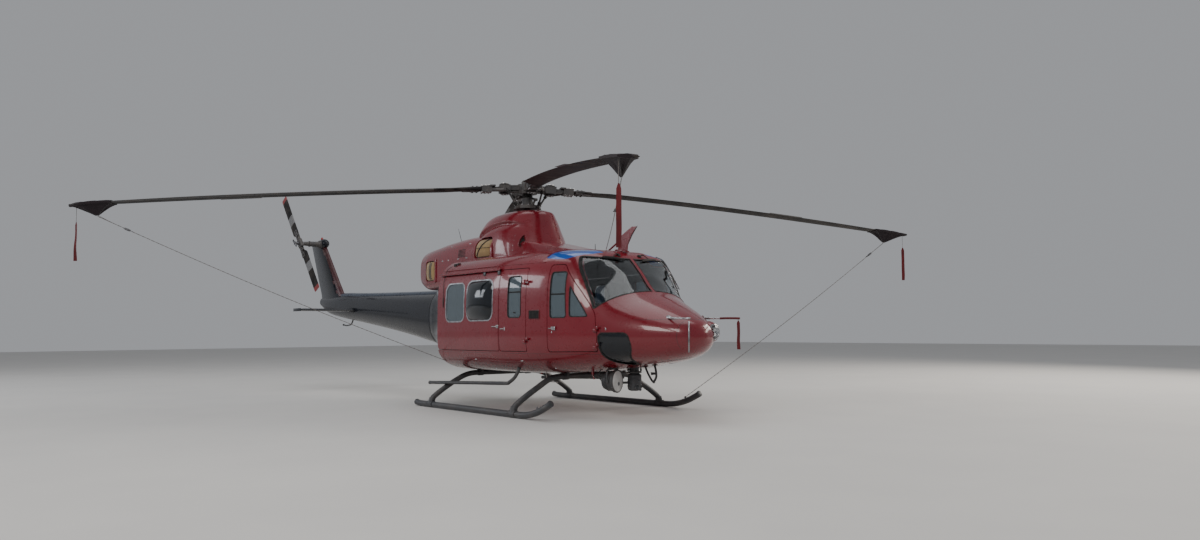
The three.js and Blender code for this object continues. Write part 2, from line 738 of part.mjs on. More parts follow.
function tailRotor() {
  const half = (z) => finSection(0, tailBladeChord, 16, z).map(([x, y]) => [x + 0.3 * tailBladeChord, y, z]);
  const neck = (z) => finSection(0, 130, 30, z).map(([x, y]) => [x + 45, y, z]);
  const one = loft([neck(60), neck(200), half(330), half(tailRotorRadius)]);
  const yoke = unite(one, one.rotate([0, 180, 0]), block(-70, 70, -35, 35, -110, 110));
  const rocked = yoke.rotate([tailTeeter, 0, 0]).rotate([0, -tailBladeLean, 0]);
  const shaft = bar([0, -75, 0], [0, 70 - seat, 0], 52, 52, 12);
  const crosshead = bar([0, -75, 0], [0, -150, 0], 36, 30, 10);
  const arm = block(-150, 150, -150, -125, -22, 22).rotate([0, -tailBladeLean, 0]);
  return unite(rocked, shaft, crosshead, arm);
}

const tailRotorHolder = new THREE.Group();
tailRotorHolder.position.set(tailHub.x, tailHub.y, tailHub.z);
helicopter.add(tailRotorHolder);
add('tail_rotor', materials.blade, tailRotor(), tailRotorHolder);

// Landing gear

const saddleTop = 108;

function crossTubePath(bellyHeight) {
  const top = bellyHeight - crossTubeRadius - seat;
  const half = [
    [1424, 60], [1405, 135], [1340, 195], [1180, 300], [960, 425], [780, top - 32], [600, top - 2], [300, top],
  ];
  const left = half.map(([y, z]) => [y, z]);
  const right = half.map(([y, z]) => [-y, z]).reverse();
  return [...left, [0, top], ...right];
}

function crossTube(x, bellyHeight, extra = 0) {
  const path = crossTubePath(bellyHeight).map(([y, z]) => [x, y, z]);
  const overSaddles = block(x - 200, x + 200, -1600, 1600, saddleTop + seat, 1000);
  return tube(path, crossTubeRadius + extra, 30, 8).intersect(overSaddles);
}

const frontBelly = 598;
const rearBelly = 580;
add('cross_tube_front', materials.steel, crossTube(frontCrossX, frontBelly));
add('cross_tube_rear', materials.steel, crossTube(rearCrossX, rearBelly));

function skid() {
  const y = -skidHalfWidth;
  const path = [
    [-1190, y, 62], [-1060, y, skidTubeRadius + 4], [0, y, skidTubeRadius + 4], [1800, y, skidTubeRadius + 4],
    [2060, y, 62], [2310, y, 118], [2530, y, 205], [2610, y, 248],
  ];
  const runner = tube(path, skidTubeRadius, 18, 8);
  const shoe = block(-1060, 1900, y - 26, y + 26, 0, 16);
  const saddle = (x) => block(x - 75, x + 75, y - 56, y + 56, 40, saddleTop);
  return unite(runner, shoe, saddle(frontCrossX), saddle(rearCrossX));
}

addPair('skid', materials.steel, skid());

function step() {
  const path = [
    [-1200, -1170, 372], [-900, -1166, 382], [100, -1146, 418], [1030, -1128, 447], [1150, -1118, 472],
    [1225, -1080, 535], [1260, -1040, 625], [1270, -1010, 720],
  ];
  const rail = tube(path, 27, 16, 8);
  const space = bodyLoft(cabinSections, -seat);
  return rail.subtract(space).subtract(crossTube(rearCrossX, rearBelly, seat));
}

addPair('step_tube', materials.steel, step());

// Lamp, camera and wire cutters under and over the nose

const underNose = () => bodyLoft(cabinSections, -seat);

function searchlight() {
  const [x, y, z] = [2730, -430, 520];
  const drum = bar([x - 75, y - 29, z], [x + 75, y + 29, z], 130, 160, 18);
  const stalk = bar([x, y, z], [x, y, 800], 28, 28, 8);
  return unite(drum, stalk).subtract(underNose());
}

function cameraTurret() {
  const [x, y] = [2790, -70];
  const drum = bar([x, y, 372], [x, y, 610], 100, 100, 18);
  const neck = bar([x, y, 610], [x, y, 800], 62, 62, 12);
  return unite(drum, neck).subtract(underNose());
}

function lowerCutter() {
  const plate = [[2920, 760], [3140, 790], [3190, 560], [3120, 500], [3075, 560], [3010, 560]];
  return sidePrism(plate, 10, 14, -14).subtract(underNose());
}

function upperCutter() {
  const plate = [
    [2350, 2370], [2560, 2330], [2580, 2480], [2680, 2620], [2790, 2735], [2690, 2740], [2440, 2620],
  ];
  const strut = bar([2090, 0, 2400], [2450, 0, 2580], 14, 14, 8);
  return unite(sidePrism(plate, 10, 12, -12), strut).subtract(underNose());
}

add('searchlight', materials.white, searchlight());
add('camera_turret', materials.steel, cameraTurret());
add('lower_wire_cutter', materials.steel, lowerCutter());
add('upper_wire_cutter', materials.red, upperCutter());

// Inside the cabin

function crewSeat() {
  const y = -560;
  const base = block(1780, 2140, y - 190, y + 190, floorTop, 1180);
  const pan = block(1700, 2240, y - 240, y + 240, 1180, 1290);
  const back = sidePrism([[1700, 1250], [1820, 1250], [1720, 1990], [1600, 1990]], 20, y - 230, y + 230);
  const head = sidePrism([[1640, 1960], [1740, 1960], [1715, 2150], [1615, 2150]], 20, y - 120, y + 120);
  return unite(base, pan, back, head);
}

addPair('crew_seat', materials.seat, crewSeat());

function cabinBench() {
  const pan = block(-640, -130, -1000, 1000, floorTop, 1310);
  const back = sidePrism([[-690, 1290], [-560, 1290], [-600, 1990], [-690, 1990]], 20, -1000, 1000);
  return unite(pan, back);
}

add('cabin_bench', materials.seat, cabinBench());

function instrumentPanel() {
  const boardSide = [[2600, 1190], [2700, 1190], [2760, 1560], [2740, 1640], [2560, 1600], [2560, 1560]];
  const pedestalSide = [[2150, floorTop], [2700, floorTop], [2700, 1240], [2600, 1240], [2200, 1120]];
  const board = sidePrism(boardSide, 15, -640, 640);
  const pedestal = sidePrism(pedestalSide, 15, -150, 150);
  return unite(board, pedestal).intersect(bodyLoft(cabinSections, wall + 12));
}

add('instrument_panel', materials.trim, instrumentPanel());

export default helicopter;
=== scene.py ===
"""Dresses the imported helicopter: painted skins, glass, cloth covers, rotor head and landing gear.

Metres. +X runs forward to the nose, +Y to port, +Z up. Shapes are counted from the rotor mast,
and each finished mesh is moved forward by mast_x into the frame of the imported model.
"""

import math
import random

import bmesh
import bpy
from mathutils import Matrix, Vector


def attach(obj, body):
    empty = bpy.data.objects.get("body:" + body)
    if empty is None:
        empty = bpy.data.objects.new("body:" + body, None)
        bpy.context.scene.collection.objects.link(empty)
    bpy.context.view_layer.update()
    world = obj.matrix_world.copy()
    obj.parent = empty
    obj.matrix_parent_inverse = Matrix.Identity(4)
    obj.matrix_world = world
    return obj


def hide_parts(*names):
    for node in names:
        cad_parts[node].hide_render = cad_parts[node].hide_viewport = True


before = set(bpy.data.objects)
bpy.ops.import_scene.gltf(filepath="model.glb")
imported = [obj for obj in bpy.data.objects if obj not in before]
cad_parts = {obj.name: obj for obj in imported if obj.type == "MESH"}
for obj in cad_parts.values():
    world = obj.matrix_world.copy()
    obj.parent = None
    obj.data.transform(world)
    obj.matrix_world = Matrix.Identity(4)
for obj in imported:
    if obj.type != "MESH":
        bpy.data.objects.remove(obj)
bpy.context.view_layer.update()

# Driving dimensions

mast_x = 1.6
hub_height = 3.640
rotor_radius = 7.010
blade_root = 0.780
first_blade_angle = math.radians(-25.8)
tail_hub = Vector((-8.810, -0.590, 3.380))
tail_blade_lean = math.radians(25)
tail_teeter = math.radians(9)
skid_half_width = 1.420
skid_radius = 0.046
cross_radius = 0.044
sill = 0.930
door_top = 2.140
floor_top = 0.902
door_gap = 0.009

# station, half width, height of the widest line, top, bottom, upper and lower roundness
cabin_sections = [
    (4.130, 0.040, 1.150, 1.185, 1.115, 2.0, 2.0),
    (4.085, 0.195, 1.150, 1.300, 1.005, 2.0, 2.1),
    (3.960, 0.350, 1.150, 1.390, 0.905, 2.1, 2.2),
    (3.700, 0.545, 1.155, 1.520, 0.828, 2.1, 2.4),
    (3.400, 0.720, 1.165, 1.655, 0.775, 2.1, 2.6),
    (3.130, 0.850, 1.180, 1.785, 0.745, 2.1, 2.8),
    (2.870, 0.950, 1.200, 2.065, 0.705, 2.1, 3.0),
    (2.690, 1.020, 1.205, 2.245, 0.680, 2.6, 3.2),
    (2.570, 1.060, 1.210, 2.345, 0.665, 3.3, 3.3),
    (2.420, 1.100, 1.215, 2.400, 0.645, 4.1, 3.4),
    (2.100, 1.180, 1.225, 2.430, 0.620, 4.6, 3.5),
    (1.600, 1.260, 1.240, 2.445, 0.595, 4.8, 3.6),
    (0.900, 1.310, 1.250, 2.450, 0.580, 4.8, 3.6),
    (-0.730, 1.310, 1.250, 2.450, 0.580, 4.8, 3.6),
]
rear_sections = [
    (-0.7303, 1.244, 1.250, 2.420, 0.590, 4.6, 3.4),
    (-0.900, 1.150, 1.255, 2.410, 0.610, 4.2, 3.2),
    (-1.300, 1.000, 1.290, 2.370, 0.670, 3.6, 2.9),
    (-1.900, 0.735, 1.370, 2.250, 0.780, 3.0, 2.6),
    (-2.400, 0.500, 1.450, 2.120, 0.905, 2.7, 2.4),
    (-2.690, 0.400, 1.490, 2.010, 0.965, 2.5, 2.3),
]
boom_sections = [
    (-2.6903, 0.395, 1.490, 2.005, 0.970, 2.4, 2.3),
    (-4.400, 0.310, 1.610, 2.040, 1.215, 2.4, 2.2),
    (-6.200, 0.235, 1.730, 2.085, 1.425, 2.4, 2.2),
    (-7.600, 0.175, 1.830, 2.130, 1.575, 2.4, 2.2),
    (-8.300, 0.130, 1.880, 2.110, 1.680, 2.2, 2.1),
    (-8.860, 0.060, 1.960, 2.060, 1.880, 2.0, 2.0),
]
cowl_sections = [
    (-0.190, 0.607, 2.474, 2.829, 2.200, 3.4, 8.0),
    (-0.500, 0.625, 2.460, 2.870, 2.200, 3.4, 8.0),
    (-1.000, 0.620, 2.440, 2.900, 2.150, 3.4, 8.0),
    (-1.800, 0.590, 2.420, 2.870, 2.050, 3.2, 8.0),
    (-2.500, 0.540, 2.400, 2.810, 2.000, 3.0, 8.0),
    (-2.900, 0.470, 2.400, 2.790, 2.050, 2.6, 4.0),
]
# height, front end, rear end, half width, roundness in front and behind
fairing_rings = [
    (2.380, 0.895, -1.120, 0.600, 2.0, 2.8),
    (2.440, 0.880, -1.120, 0.600, 2.0, 2.8),
    (2.630, 0.810, -1.060, 0.590, 2.0, 2.8),
    (2.880, 0.700, -1.050, 0.540, 2.0, 2.8),
    (3.080, 0.620, -0.940, 0.450, 2.0, 2.7),
    (3.180, 0.560, -0.790, 0.370, 2.1, 2.6),
    (3.225, 0.430, -0.560, 0.290, 2.2, 2.5),
]

# Outlines in side view, as x and z
windshield = [(2.880, 1.530), (2.485, 2.285), (2.660, 2.262), (3.050, 2.262), (3.600, 2.000), (3.130, 1.782)]
crew_door = [(2.170, sill), (2.960, 0.940), (2.985, 1.180), (2.925, 1.450), (2.395, 2.170), (2.170, 2.170)]
panel_door = [(1.130, sill), (1.760, sill), (1.760, 2.150), (1.130, 2.150)]
sliding_door = [(-0.720, sill), (1.122, sill), (1.122, door_top), (-0.720, door_top)]
crew_window = [(2.225, 1.415), (2.500, 1.415), (2.460, 2.060), (2.225, 2.060)]
quarter_window = [(2.560, 1.425), (2.820, 1.425), (2.540, 1.850)]
panel_window = [(1.350, 1.430), (1.640, 1.430), (1.640, 2.030), (1.350, 2.030)]
bubble_window = [(0.220, 1.400), (0.960, 1.400), (0.960, 2.010), (0.220, 2.010)]
rear_window = [(-0.430, 1.390), (0.130, 1.390), (0.130, 1.990), (-0.430, 1.990)]
chin_window = [(2.995, 0.840), (3.100, 0.745), (3.250, 0.775), (3.430, 1.000), (3.390, 1.195), (2.995, 1.195)]
# The roof window's outline in plan, as x and y on the port side
roof_window = [(1.960, 0.400), (2.540, 0.400), (2.520, 0.640), (2.430, 0.850), (2.330, 0.950), (2.150, 1.010),
               (1.960, 1.030)]

# outline, corner radius
door_cuts = {
    "crew_door": (crew_door, 0.035),
    "panel_door": (panel_door, 0.03),
    "sliding_door": (sliding_door, 0.03),
}
# outline, corner radius, door that carries it, width of its trim
window_cuts = {
    "crew_window": (crew_window, 0.04, "crew_door", 0.006),
    "quarter_window": (quarter_window, 0.03, "crew_door", 0.006),
    "panel_window": (panel_window, 0.05, "panel_door", 0.008),
    "bubble_window": (bubble_window, 0.13, "sliding_door", 0.016),
    "rear_window": (rear_window, 0.11, "sliding_door", 0.016),
    "chin_window": (chin_window, 0.06, None, 0.010),
}


# Camera, floor and lights

camera_place = Vector((12.404 + mast_x, -8.530, 1.228))
camera_yaw = math.radians(140.82)
camera_pitch = math.radians(3.90)
camera_roll = math.radians(-0.35)
camera_lens = 26.72


def make_camera():
    """The camera that the photograph was taken with, as it was solved."""
    ahead = Vector((
        math.cos(camera_pitch) * math.cos(camera_yaw),
        math.cos(camera_pitch) * math.sin(camera_yaw),
        math.sin(camera_pitch),
    ))
    level = ahead.cross(Vector((0, 0, 1))).normalized()
    above = level.cross(ahead)
    right = math.cos(camera_roll) * level + math.sin(camera_roll) * above
    up = math.cos(camera_roll) * above - math.sin(camera_roll) * level
    data = bpy.data.cameras.new("camera")
    data.lens = camera_lens
    data.sensor_width = 36
    data.clip_end = 500
    camera = bpy.data.objects.new("camera", data)
    turn = Matrix((right, up, -ahead)).transposed().to_4x4()
    camera.matrix_world = Matrix.Translation(camera_place) @ turn
    bpy.context.scene.collection.objects.link(camera)
    bpy.context.scene.camera = camera


def area_light(name, place, aim, size, power, color):
    """A rectangular lamp that faces a point."""
    data = bpy.data.lights.new(name, "AREA")
    data.shape = "RECTANGLE"
    data.size, data.size_y = size
    data.energy = power
    data.color = color
    light = bpy.data.objects.new(name, data)
    light.location = place
    light.rotation_mode = "QUATERNION"
    light.rotation_quaternion = (Vector(aim) - Vector(place)).to_track_quat("-Z", "Y")
    bpy.context.scene.collection.objects.link(light)


def make_studio():
    """A pale sky and four large lamps."""
    world = bpy.data.worlds.new("studio")
    world.use_nodes = True
    sky = world.node_tree.nodes["Background"]
    sky.inputs["Color"].default_value = (0.80, 0.82, 0.86, 1)
    sky.inputs["Strength"].default_value = 0.42
    bpy.context.scene.world = world
    area_light("key_light", (13, -15, 12), (0, 0, 1.5), (10, 6), 1500, (1.0, 0.97, 0.93))
    area_light("fill_light", (-12, -16, 8), (-2, 0, 1.5), (10, 5), 800, (0.92, 0.95, 1.0))
    area_light("rim_light", (8, 17, 9), (0, 0, 2), (14, 6), 2000, (1.0, 0.93, 0.84))
    area_light("top_light", (0, 0, 17), (0, 0, 0), (18, 14), 1100, (1.0, 1.0, 1.0))


make_camera()
make_studio()


# Shaders

class Finish:
    """A procedural material under construction. Places come from Object coordinates."""

    def __init__(self, name):
        self.material = bpy.data.materials.new(name)
        self.material.use_nodes = True
        self.tree = self.material.node_tree
        self.shader = self.tree.nodes["Principled BSDF"]
        self.place = self.add("ShaderNodeTexCoord").outputs["Object"]
        split = self.add("ShaderNodeSeparateXYZ", {"Vector": self.place})
        self.x, self.y, self.z = split.outputs

    def add(self, kind, inputs=None, **settings):
        node = self.tree.nodes.new(kind)
        for key, value in settings.items():
            setattr(node, key, value)
        for key, value in (inputs or {}).items():
            if isinstance(value, bpy.types.NodeSocket):
                self.tree.links.new(value, node.inputs[key])
            else:
                node.inputs[key].default_value = value
        return node

    def math(self, operation, *values, clamp=False):
        node = self.add("ShaderNodeMath", dict(enumerate(values)), operation=operation, use_clamp=clamp)
        return node.outputs[0]

    def noise(self, scale, detail=3.0, roughness=0.55, stretch=(1, 1, 1)):
        mapping = self.add("ShaderNodeMapping", {"Vector": self.place, "Scale": stretch})
        inputs = {"Vector": mapping.outputs[0], "Scale": scale, "Detail": detail, "Roughness": roughness}
        return self.add("ShaderNodeTexNoise", inputs).outputs["Fac"]

    def spread(self, value, low, high, to_low=0.0, to_high=1.0):
        inputs = {"Value": value, "From Min": low, "From Max": high, "To Min": to_low, "To Max": to_high}
        return self.add("ShaderNodeMapRange", inputs, clamp=True).outputs[0]

    def within(self, value, middle, reach):
        return self.math("COMPARE", value, middle, reach)

    def both(self, *masks):
        product = masks[0]
        for mask in masks[1:]:
            product = self.math("MULTIPLY", product, mask)
        return product

    def any_of(self, *masks):
        most = masks[0]
        for mask in masks[1:]:
            most = self.math("MAXIMUM", most, mask)
        return most

    def mix(self, share, first, second):
        node = self.add("ShaderNodeMix", data_type="RGBA")
        for socket, value in zip((node.inputs[0], node.inputs[6], node.inputs[7]), (share, first, second)):
            if isinstance(value, bpy.types.NodeSocket):
                self.tree.links.new(value, socket)
            else:
                socket.default_value = value
        return node.outputs[2]

    def bump(self, height, strength=0.2, distance=0.002):
        node = self.add("ShaderNodeBump", {"Height": height, "Strength": strength, "Distance": distance})
        self.link(node.outputs[0], "Normal")

    def link(self, output, name):
        self.tree.links.new(output, self.shader.inputs[name])

    def set(self, **values):
        for name, value in values.items():
            self.shader.inputs[name.replace("_", " ")].default_value = value


def dimmed(color, share):
    """A darker shade of a color."""
    return tuple(value * share for value in color[:3]) + (1,)


def gloss_paint(name, color, dark, seams=None, grime=0.35, coat=0.7, below=None):
    """Clear-coated paint with faint orange peel, dust low down and, where given, panel seams."""
    finish = Finish(name)
    finish.set(Coat_Weight=coat, Coat_Roughness=0.06, Metallic=0.0, Specular_IOR_Level=0.6 * coat)
    cloud = finish.noise(1.3, 4)
    shade = finish.mix(finish.spread(cloud, 0.30, 0.8), color, dark)
    if below:
        line = finish.math("SUBTRACT", finish.z, finish.math("MULTIPLY", finish.x, 0.04))
        shade = finish.mix(finish.spread(line, 2.062, 2.058), shade, below)
    low = finish.spread(finish.z, 0.95, 0.55)
    speck = finish.spread(finish.noise(38, 5, 0.7), 0.45, 0.75)
    dust = finish.math("MULTIPLY", finish.both(low, speck), grime)
    dusty = finish.mix(dust, shade, (0.11, 0.075, 0.055, 1))
    peel = finish.noise(160, 2)
    height = finish.math("MULTIPLY", peel, 0.25)
    if seams:
        line = seams(finish)
        dusty = finish.mix(line, dusty, (0.035, 0.008, 0.01, 1))
        height = finish.math("SUBTRACT", height, line)
    finish.link(dusty, "Base Color")
    finish.link(finish.spread(finish.noise(9, 4), 0.3, 0.8, 0.24, 0.36), "Roughness")
    finish.bump(height, 0.12, 0.002)
    return finish.material


def worn_paint(name, color, bare, roughness=0.42, wear=0.6, shine=0.45):
    """Satin paint over metal, rubbed and dusty."""
    finish = Finish(name)
    finish.set(Specular_IOR_Level=shine)
    scuffs = finish.spread(finish.noise(24, 6, 0.7, (0.25, 1, 1)), 0.56, 0.74)
    dust = finish.spread(finish.noise(5, 4), 0.4, 0.7)
    shade = finish.mix(finish.math("MULTIPLY", dust, 0.35), color, (0.12, 0.10, 0.085, 1))
    finish.link(finish.mix(finish.math("MULTIPLY", scuffs, wear), shade, bare), "Base Color")
    finish.link(finish.spread(scuffs, 0, 1, roughness, roughness + 0.2), "Roughness")
    finish.bump(finish.noise(140, 3), 0.12, 0.001)
    return finish.material


def bare_metal(name, color, roughness=0.32):
    """Unpainted metal with darker stains."""
    finish = Finish(name)
    finish.set(Metallic=0.9)
    stain = finish.spread(finish.noise(17, 5, 0.65), 0.42, 0.68)
    finish.link(finish.mix(stain, color, dimmed(color, 0.45)), "Base Color")
    finish.link(finish.spread(stain, 0, 1, roughness, roughness + 0.25), "Roughness")
    finish.bump(finish.noise(220, 3, 0.6, (1, 1, 0.15)), 0.1, 0.001)
    return finish.material


def woven_cloth(name, color, shade, threads=520, sheen=0.25, roughness=0.88):
    """Plain weave: two crossed waves over Object coordinates, with blotches of wear."""
    finish = Finish(name)
    finish.set(Sheen_Weight=sheen, Sheen_Roughness=0.5)
    across = finish.math("SINE", finish.math("MULTIPLY", finish.math("ADD", finish.x, finish.y), threads * 2))
    along = finish.math("SINE", finish.math("MULTIPLY", finish.z, threads * 2.6))
    weave = finish.math("MULTIPLY", across, along)
    blotch = finish.spread(finish.noise(7, 5), 0.35, 0.7)
    base = finish.mix(blotch, color, shade)
    thread_shade = finish.spread(weave, -1, 1, 0.0, 0.22)
    finish.link(finish.mix(thread_shade, base, dimmed(color, 0.5)), "Base Color")
    finish.set(Roughness=roughness)
    creases = finish.math("ADD", finish.math("MULTIPLY", weave, 0.25), finish.noise(15, 4))
    finish.bump(creases, 0.35, 0.004)
    return finish.material


def window_glass(name, color, roughness=0.02, transmission=1.0, dark=False):
    """Tinted glass with faint smears."""
    finish = Finish(name)
    finish.set(Transmission_Weight=transmission, IOR=1.45, Coat_Weight=0.3, Coat_Roughness=0.02)
    smear = finish.spread(finish.noise(6, 4), 0.45, 0.75)
    finish.link(finish.spread(smear, 0, 1, roughness, roughness + 0.05), "Roughness")
    tint = dimmed(color, 0.7 if dark else 0.93)
    finish.link(finish.mix(smear, color, tint), "Base Color")
    return finish.material


def rubber(name, color=(0.012, 0.012, 0.013, 1)):
    """Dusty black rubber."""
    finish = Finish(name)
    dust = finish.spread(finish.noise(30, 4), 0.4, 0.7)
    finish.link(finish.mix(dust, color, (0.04, 0.038, 0.035, 1)), "Base Color")
    finish.set(Roughness=0.7, Specular_IOR_Level=0.3)
    finish.bump(finish.noise(260, 3), 0.2, 0.001)
    return finish.material


def matt_plastic(name, color, roughness=0.6):
    """Grained plastic with faint blotches."""
    finish = Finish(name)
    blotch = finish.spread(finish.noise(11, 4), 0.4, 0.7)
    finish.link(finish.mix(blotch, color, dimmed(color, 0.7)), "Base Color")
    finish.set(Roughness=roughness)
    finish.bump(finish.noise(420, 2), 0.25, 0.0008)
    return finish.material


def body_seams(finish):
    """Panel joints of the nose, the chin and the belly, as thin lines on the paint."""
    x, z = finish.x, finish.z
    front = finish.both(finish.within(x, 3.955 + mast_x, 0.0022), finish.spread(z, 0.985, 0.99))
    shelf = finish.both(finish.within(z, 1.37, 0.0025), finish.spread(x, 3.42 + mast_x, 3.43 + mast_x))
    split = finish.both(finish.within(x, 3.03 + mast_x, 0.0025), finish.spread(z, 1.30, 1.29))
    belly = finish.both(finish.within(z, 0.905, 0.0025), finish.spread(x, 3.0 + mast_x, 2.99 + mast_x))
    posts = [finish.within(x, place + mast_x, 0.002) for place in (1.945, 0.2, -0.35)]
    low = finish.spread(z, 0.905, 0.900)
    lines = finish.any_of(front, shelf, split, belly)
    return finish.any_of(lines, finish.both(finish.any_of(*posts), low))


def cowl_seams(finish):
    """Door joints of the engine cowl and the roof."""
    uprights = [finish.within(finish.x, place + mast_x, 0.0025) for place in (-0.78, -1.46, -1.98, -2.62)]
    sides = finish.spread(finish.z, 2.43, 2.44)
    level = finish.within(finish.z, 2.70, 0.0022)
    behind = finish.spread(finish.x, -0.77 + mast_x, -0.78 + mast_x)
    return finish.any_of(finish.both(finish.any_of(*uprights), sides), finish.both(level, behind))


def rear_seams(finish):
    """Upright joints and a level one on the rear body."""
    uprights = [finish.within(finish.x, place + mast_x, 0.0022) for place in (-1.12, -1.72, -2.30)]
    level = finish.within(finish.z, 1.50, 0.0022)
    return finish.any_of(*uprights, level)


deep_red = (0.185, 0.0035, 0.013, 1)
darker_red = (0.150, 0.003, 0.0105, 1)
body_red = gloss_paint("body_red", deep_red, darker_red, body_seams)
cowl_red = gloss_paint("cowl_red", deep_red, darker_red, cowl_seams)
door_red = gloss_paint("door_red", deep_red, darker_red)
slate_color = (0.0055, 0.0075, 0.013, 1)
slate = gloss_paint("slate_blue_black", slate_color, (0.004, 0.005, 0.009, 1), None, 0.35, 0.35)
rear_two_tone = gloss_paint("rear_two_tone", deep_red, darker_red, rear_seams, 0.35, 0.5, slate_color)
spine_grey = gloss_paint("spine_grey", (0.028, 0.042, 0.070, 1), (0.022, 0.033, 0.054, 1), None, 0.35, 0.5)
lining = matt_plastic("cabin_lining", (0.035, 0.036, 0.04, 1), 0.8)
trim_grey = matt_plastic("trim_grey", (0.07, 0.072, 0.078, 1))
silver = bare_metal("window_frame_metal", (0.42, 0.43, 0.45, 1), 0.38)
steel = bare_metal("hub_steel", (0.16, 0.16, 0.17, 1), 0.35)
bright_steel = bare_metal("bright_steel", (0.55, 0.55, 0.56, 1), 0.25)
gear_grey = worn_paint("gear_grey", (0.045, 0.047, 0.052, 1), (0.22, 0.21, 0.20, 1))
hub_grey = worn_paint("hub_grey", (0.05, 0.048, 0.05, 1), (0.22, 0.21, 0.20, 1), 0.5, 0.5)
blade_black = worn_paint("blade_black", (0.011, 0.010, 0.011, 1), (0.05, 0.04, 0.035, 1), 0.6, 0.3, 0.16)
white_paint = worn_paint("lamp_white", (0.70, 0.70, 0.69, 1), (0.35, 0.33, 0.30, 1), 0.3, 0.3)
seal_black = rubber("seal_black")
clear_glass = window_glass("clear_glass", (0.80, 0.86, 0.88, 1))
side_glass = window_glass("side_glass", (0.20, 0.26, 0.30, 1), 0.03, 0.6)
roof_glass = window_glass("roof_blue_glass", (0.03, 0.15, 0.62, 1), 0.03, 0.30)
bubble_glass = window_glass("bubble_dark_glass", (0.05, 0.07, 0.10, 1), 0.10, 0.9, True)
fin_red = worn_paint("fin_edge_red", (0.045, 0.004, 0.008, 1), (0.02, 0.008, 0.008, 1), 0.42, 0.3)
edge_metal = worn_paint("blade_edge_metal", (0.055, 0.054, 0.056, 1), (0.20, 0.19, 0.18, 1), 0.45, 0.45, 0.3)
blade_tip_red = worn_paint("blade_tip_red", (0.25, 0.015, 0.02, 1), (0.18, 0.10, 0.09, 1), 0.4, 0.3)
floor_grey = matt_plastic("floor_grey", (0.085, 0.088, 0.095, 1), 0.75)
# The tail blades' bands are white; their mid grey is painted shade, the way the bands look in shadow
white_band_in_painted_shade = worn_paint("blade_white_band_in_painted_shade", (0.16, 0.16, 0.165, 1), (0.10, 0.10, 0.10, 1), 0.45, 0.3)
engine_dark = bare_metal("engine_dark", (0.10, 0.085, 0.075, 1), 0.45)
lamp_red = window_glass("lamp_red_glass", (0.5, 0.02, 0.02, 1), 0.05, 0.6)
lamp_glass = window_glass("lamp_glass", (0.9, 0.92, 0.95, 1), 0.04)
tan_cloth = woven_cloth("tan_cover_cloth", (0.36, 0.24, 0.10, 1), (0.27, 0.18, 0.08, 1))
sock_cloth = woven_cloth("sock_cloth", (0.016, 0.008, 0.012, 1), (0.010, 0.006, 0.009, 1), 520, 0.03)
streamer_cloth = woven_cloth("streamer_cloth", (0.135, 0.009, 0.013, 1), (0.09, 0.007, 0.010, 1), 520, 0.08)
strap_black = woven_cloth("strap_black", (0.02, 0.02, 0.022, 1), (0.03, 0.03, 0.03, 1), 900)
seat_cloth = woven_cloth("seat_cloth", (0.035, 0.037, 0.042, 1), (0.022, 0.024, 0.028, 1))
rope_fibre = woven_cloth("rope_fibre", (0.16, 0.14, 0.13, 1), (0.10, 0.09, 0.08, 1), 1400)


# Mesh helpers

def turns(count, more=0):
    """Equal steps of angle round a circle, and as many more as are asked for."""
    return [k * math.tau / count for k in range(count + more)]


def signed_power(value, power):
    """A power that keeps the sign of its value."""
    return math.copysign(abs(value) ** power, value)


def between(rows, steps):
    """Rows between the given ones, along a smooth curve that never overshoots them."""
    def secant(k, column):
        return (rows[k + 1][column] - rows[k][column]) / (rows[k + 1][0] - rows[k][0])

    def slope(k, column):
        if k == 0 or k == len(rows) - 1:
            return secant(min(k, len(rows) - 2), column)
        before, after = secant(k - 1, column), secant(k, column)
        return 0 if before * after <= 0 else 2 * before * after / (before + after)

    dense = []
    for k in range(len(rows) - 1):
        span = rows[k + 1][0] - rows[k][0]
        for j in range(steps):
            t = j / steps
            row = [rows[k][0] + t * span]
            for column in range(1, len(rows[k])):
                start, end = rows[k][column], rows[k + 1][column]
                value = (2 * t**3 - 3 * t**2 + 1) * start + (3 * t**2 - 2 * t**3) * end
                value += (t**3 - 2 * t**2 + t) * span * slope(k, column)
                value += (t**3 - t**2) * span * slope(k + 1, column)
                row.append(value)
            dense.append(tuple(row))
    return dense + [tuple(rows[-1])]


def on_body(row, angle, grow=0.0):
    """The point at an angle round a body section, as in the source of the solids."""
    x, half, waist, top, bottom, upper, lower = row
    rising = math.sin(angle) > 0
    power = 2 / (upper if rising else lower)
    height = (top - waist if rising else waist - bottom) + grow
    y = (half + grow) * signed_power(math.cos(angle), power)
    return Vector((x, y, waist + height * signed_power(math.sin(angle), power)))


def on_fairing(row, angle, grow=0.0):
    """The point at an angle round a level ring of the mast fairing."""
    z, front, rear, half, ahead, behind = row
    power = 2 / (ahead if math.cos(angle) > 0 else behind)
    middle, reach = (front + rear) / 2, (front - rear) / 2 + grow
    x = middle + reach * signed_power(math.cos(angle), power)
    return Vector((x, (half + grow) * signed_power(math.sin(angle), power), z + grow))


def unit_tube(rings, around):
    """An open tube of radius 1 along X, whose ring k lies at x = k."""
    bm = bmesh.new()
    turn = Matrix.Rotation(math.pi / 2, 4, "Y")
    bmesh.ops.create_circle(bm, segments=around, radius=1, matrix=turn)
    edges = bm.edges[:]
    for _ in range(rings - 1):
        made = bmesh.ops.extrude_edge_only(bm, edges=edges)["geom"]
        verts = {item for item in made if isinstance(item, bmesh.types.BMVert)}
        bmesh.ops.translate(bm, verts=list(verts), vec=(1, 0, 0))
        edges = [item for item in made if isinstance(item, bmesh.types.BMEdge) and set(item.verts) <= verts]
    return bm


def faced(bm):
    """The same mesh with its faces turned outwards."""
    bmesh.ops.recalc_face_normals(bm, faces=bm.faces)
    return bm


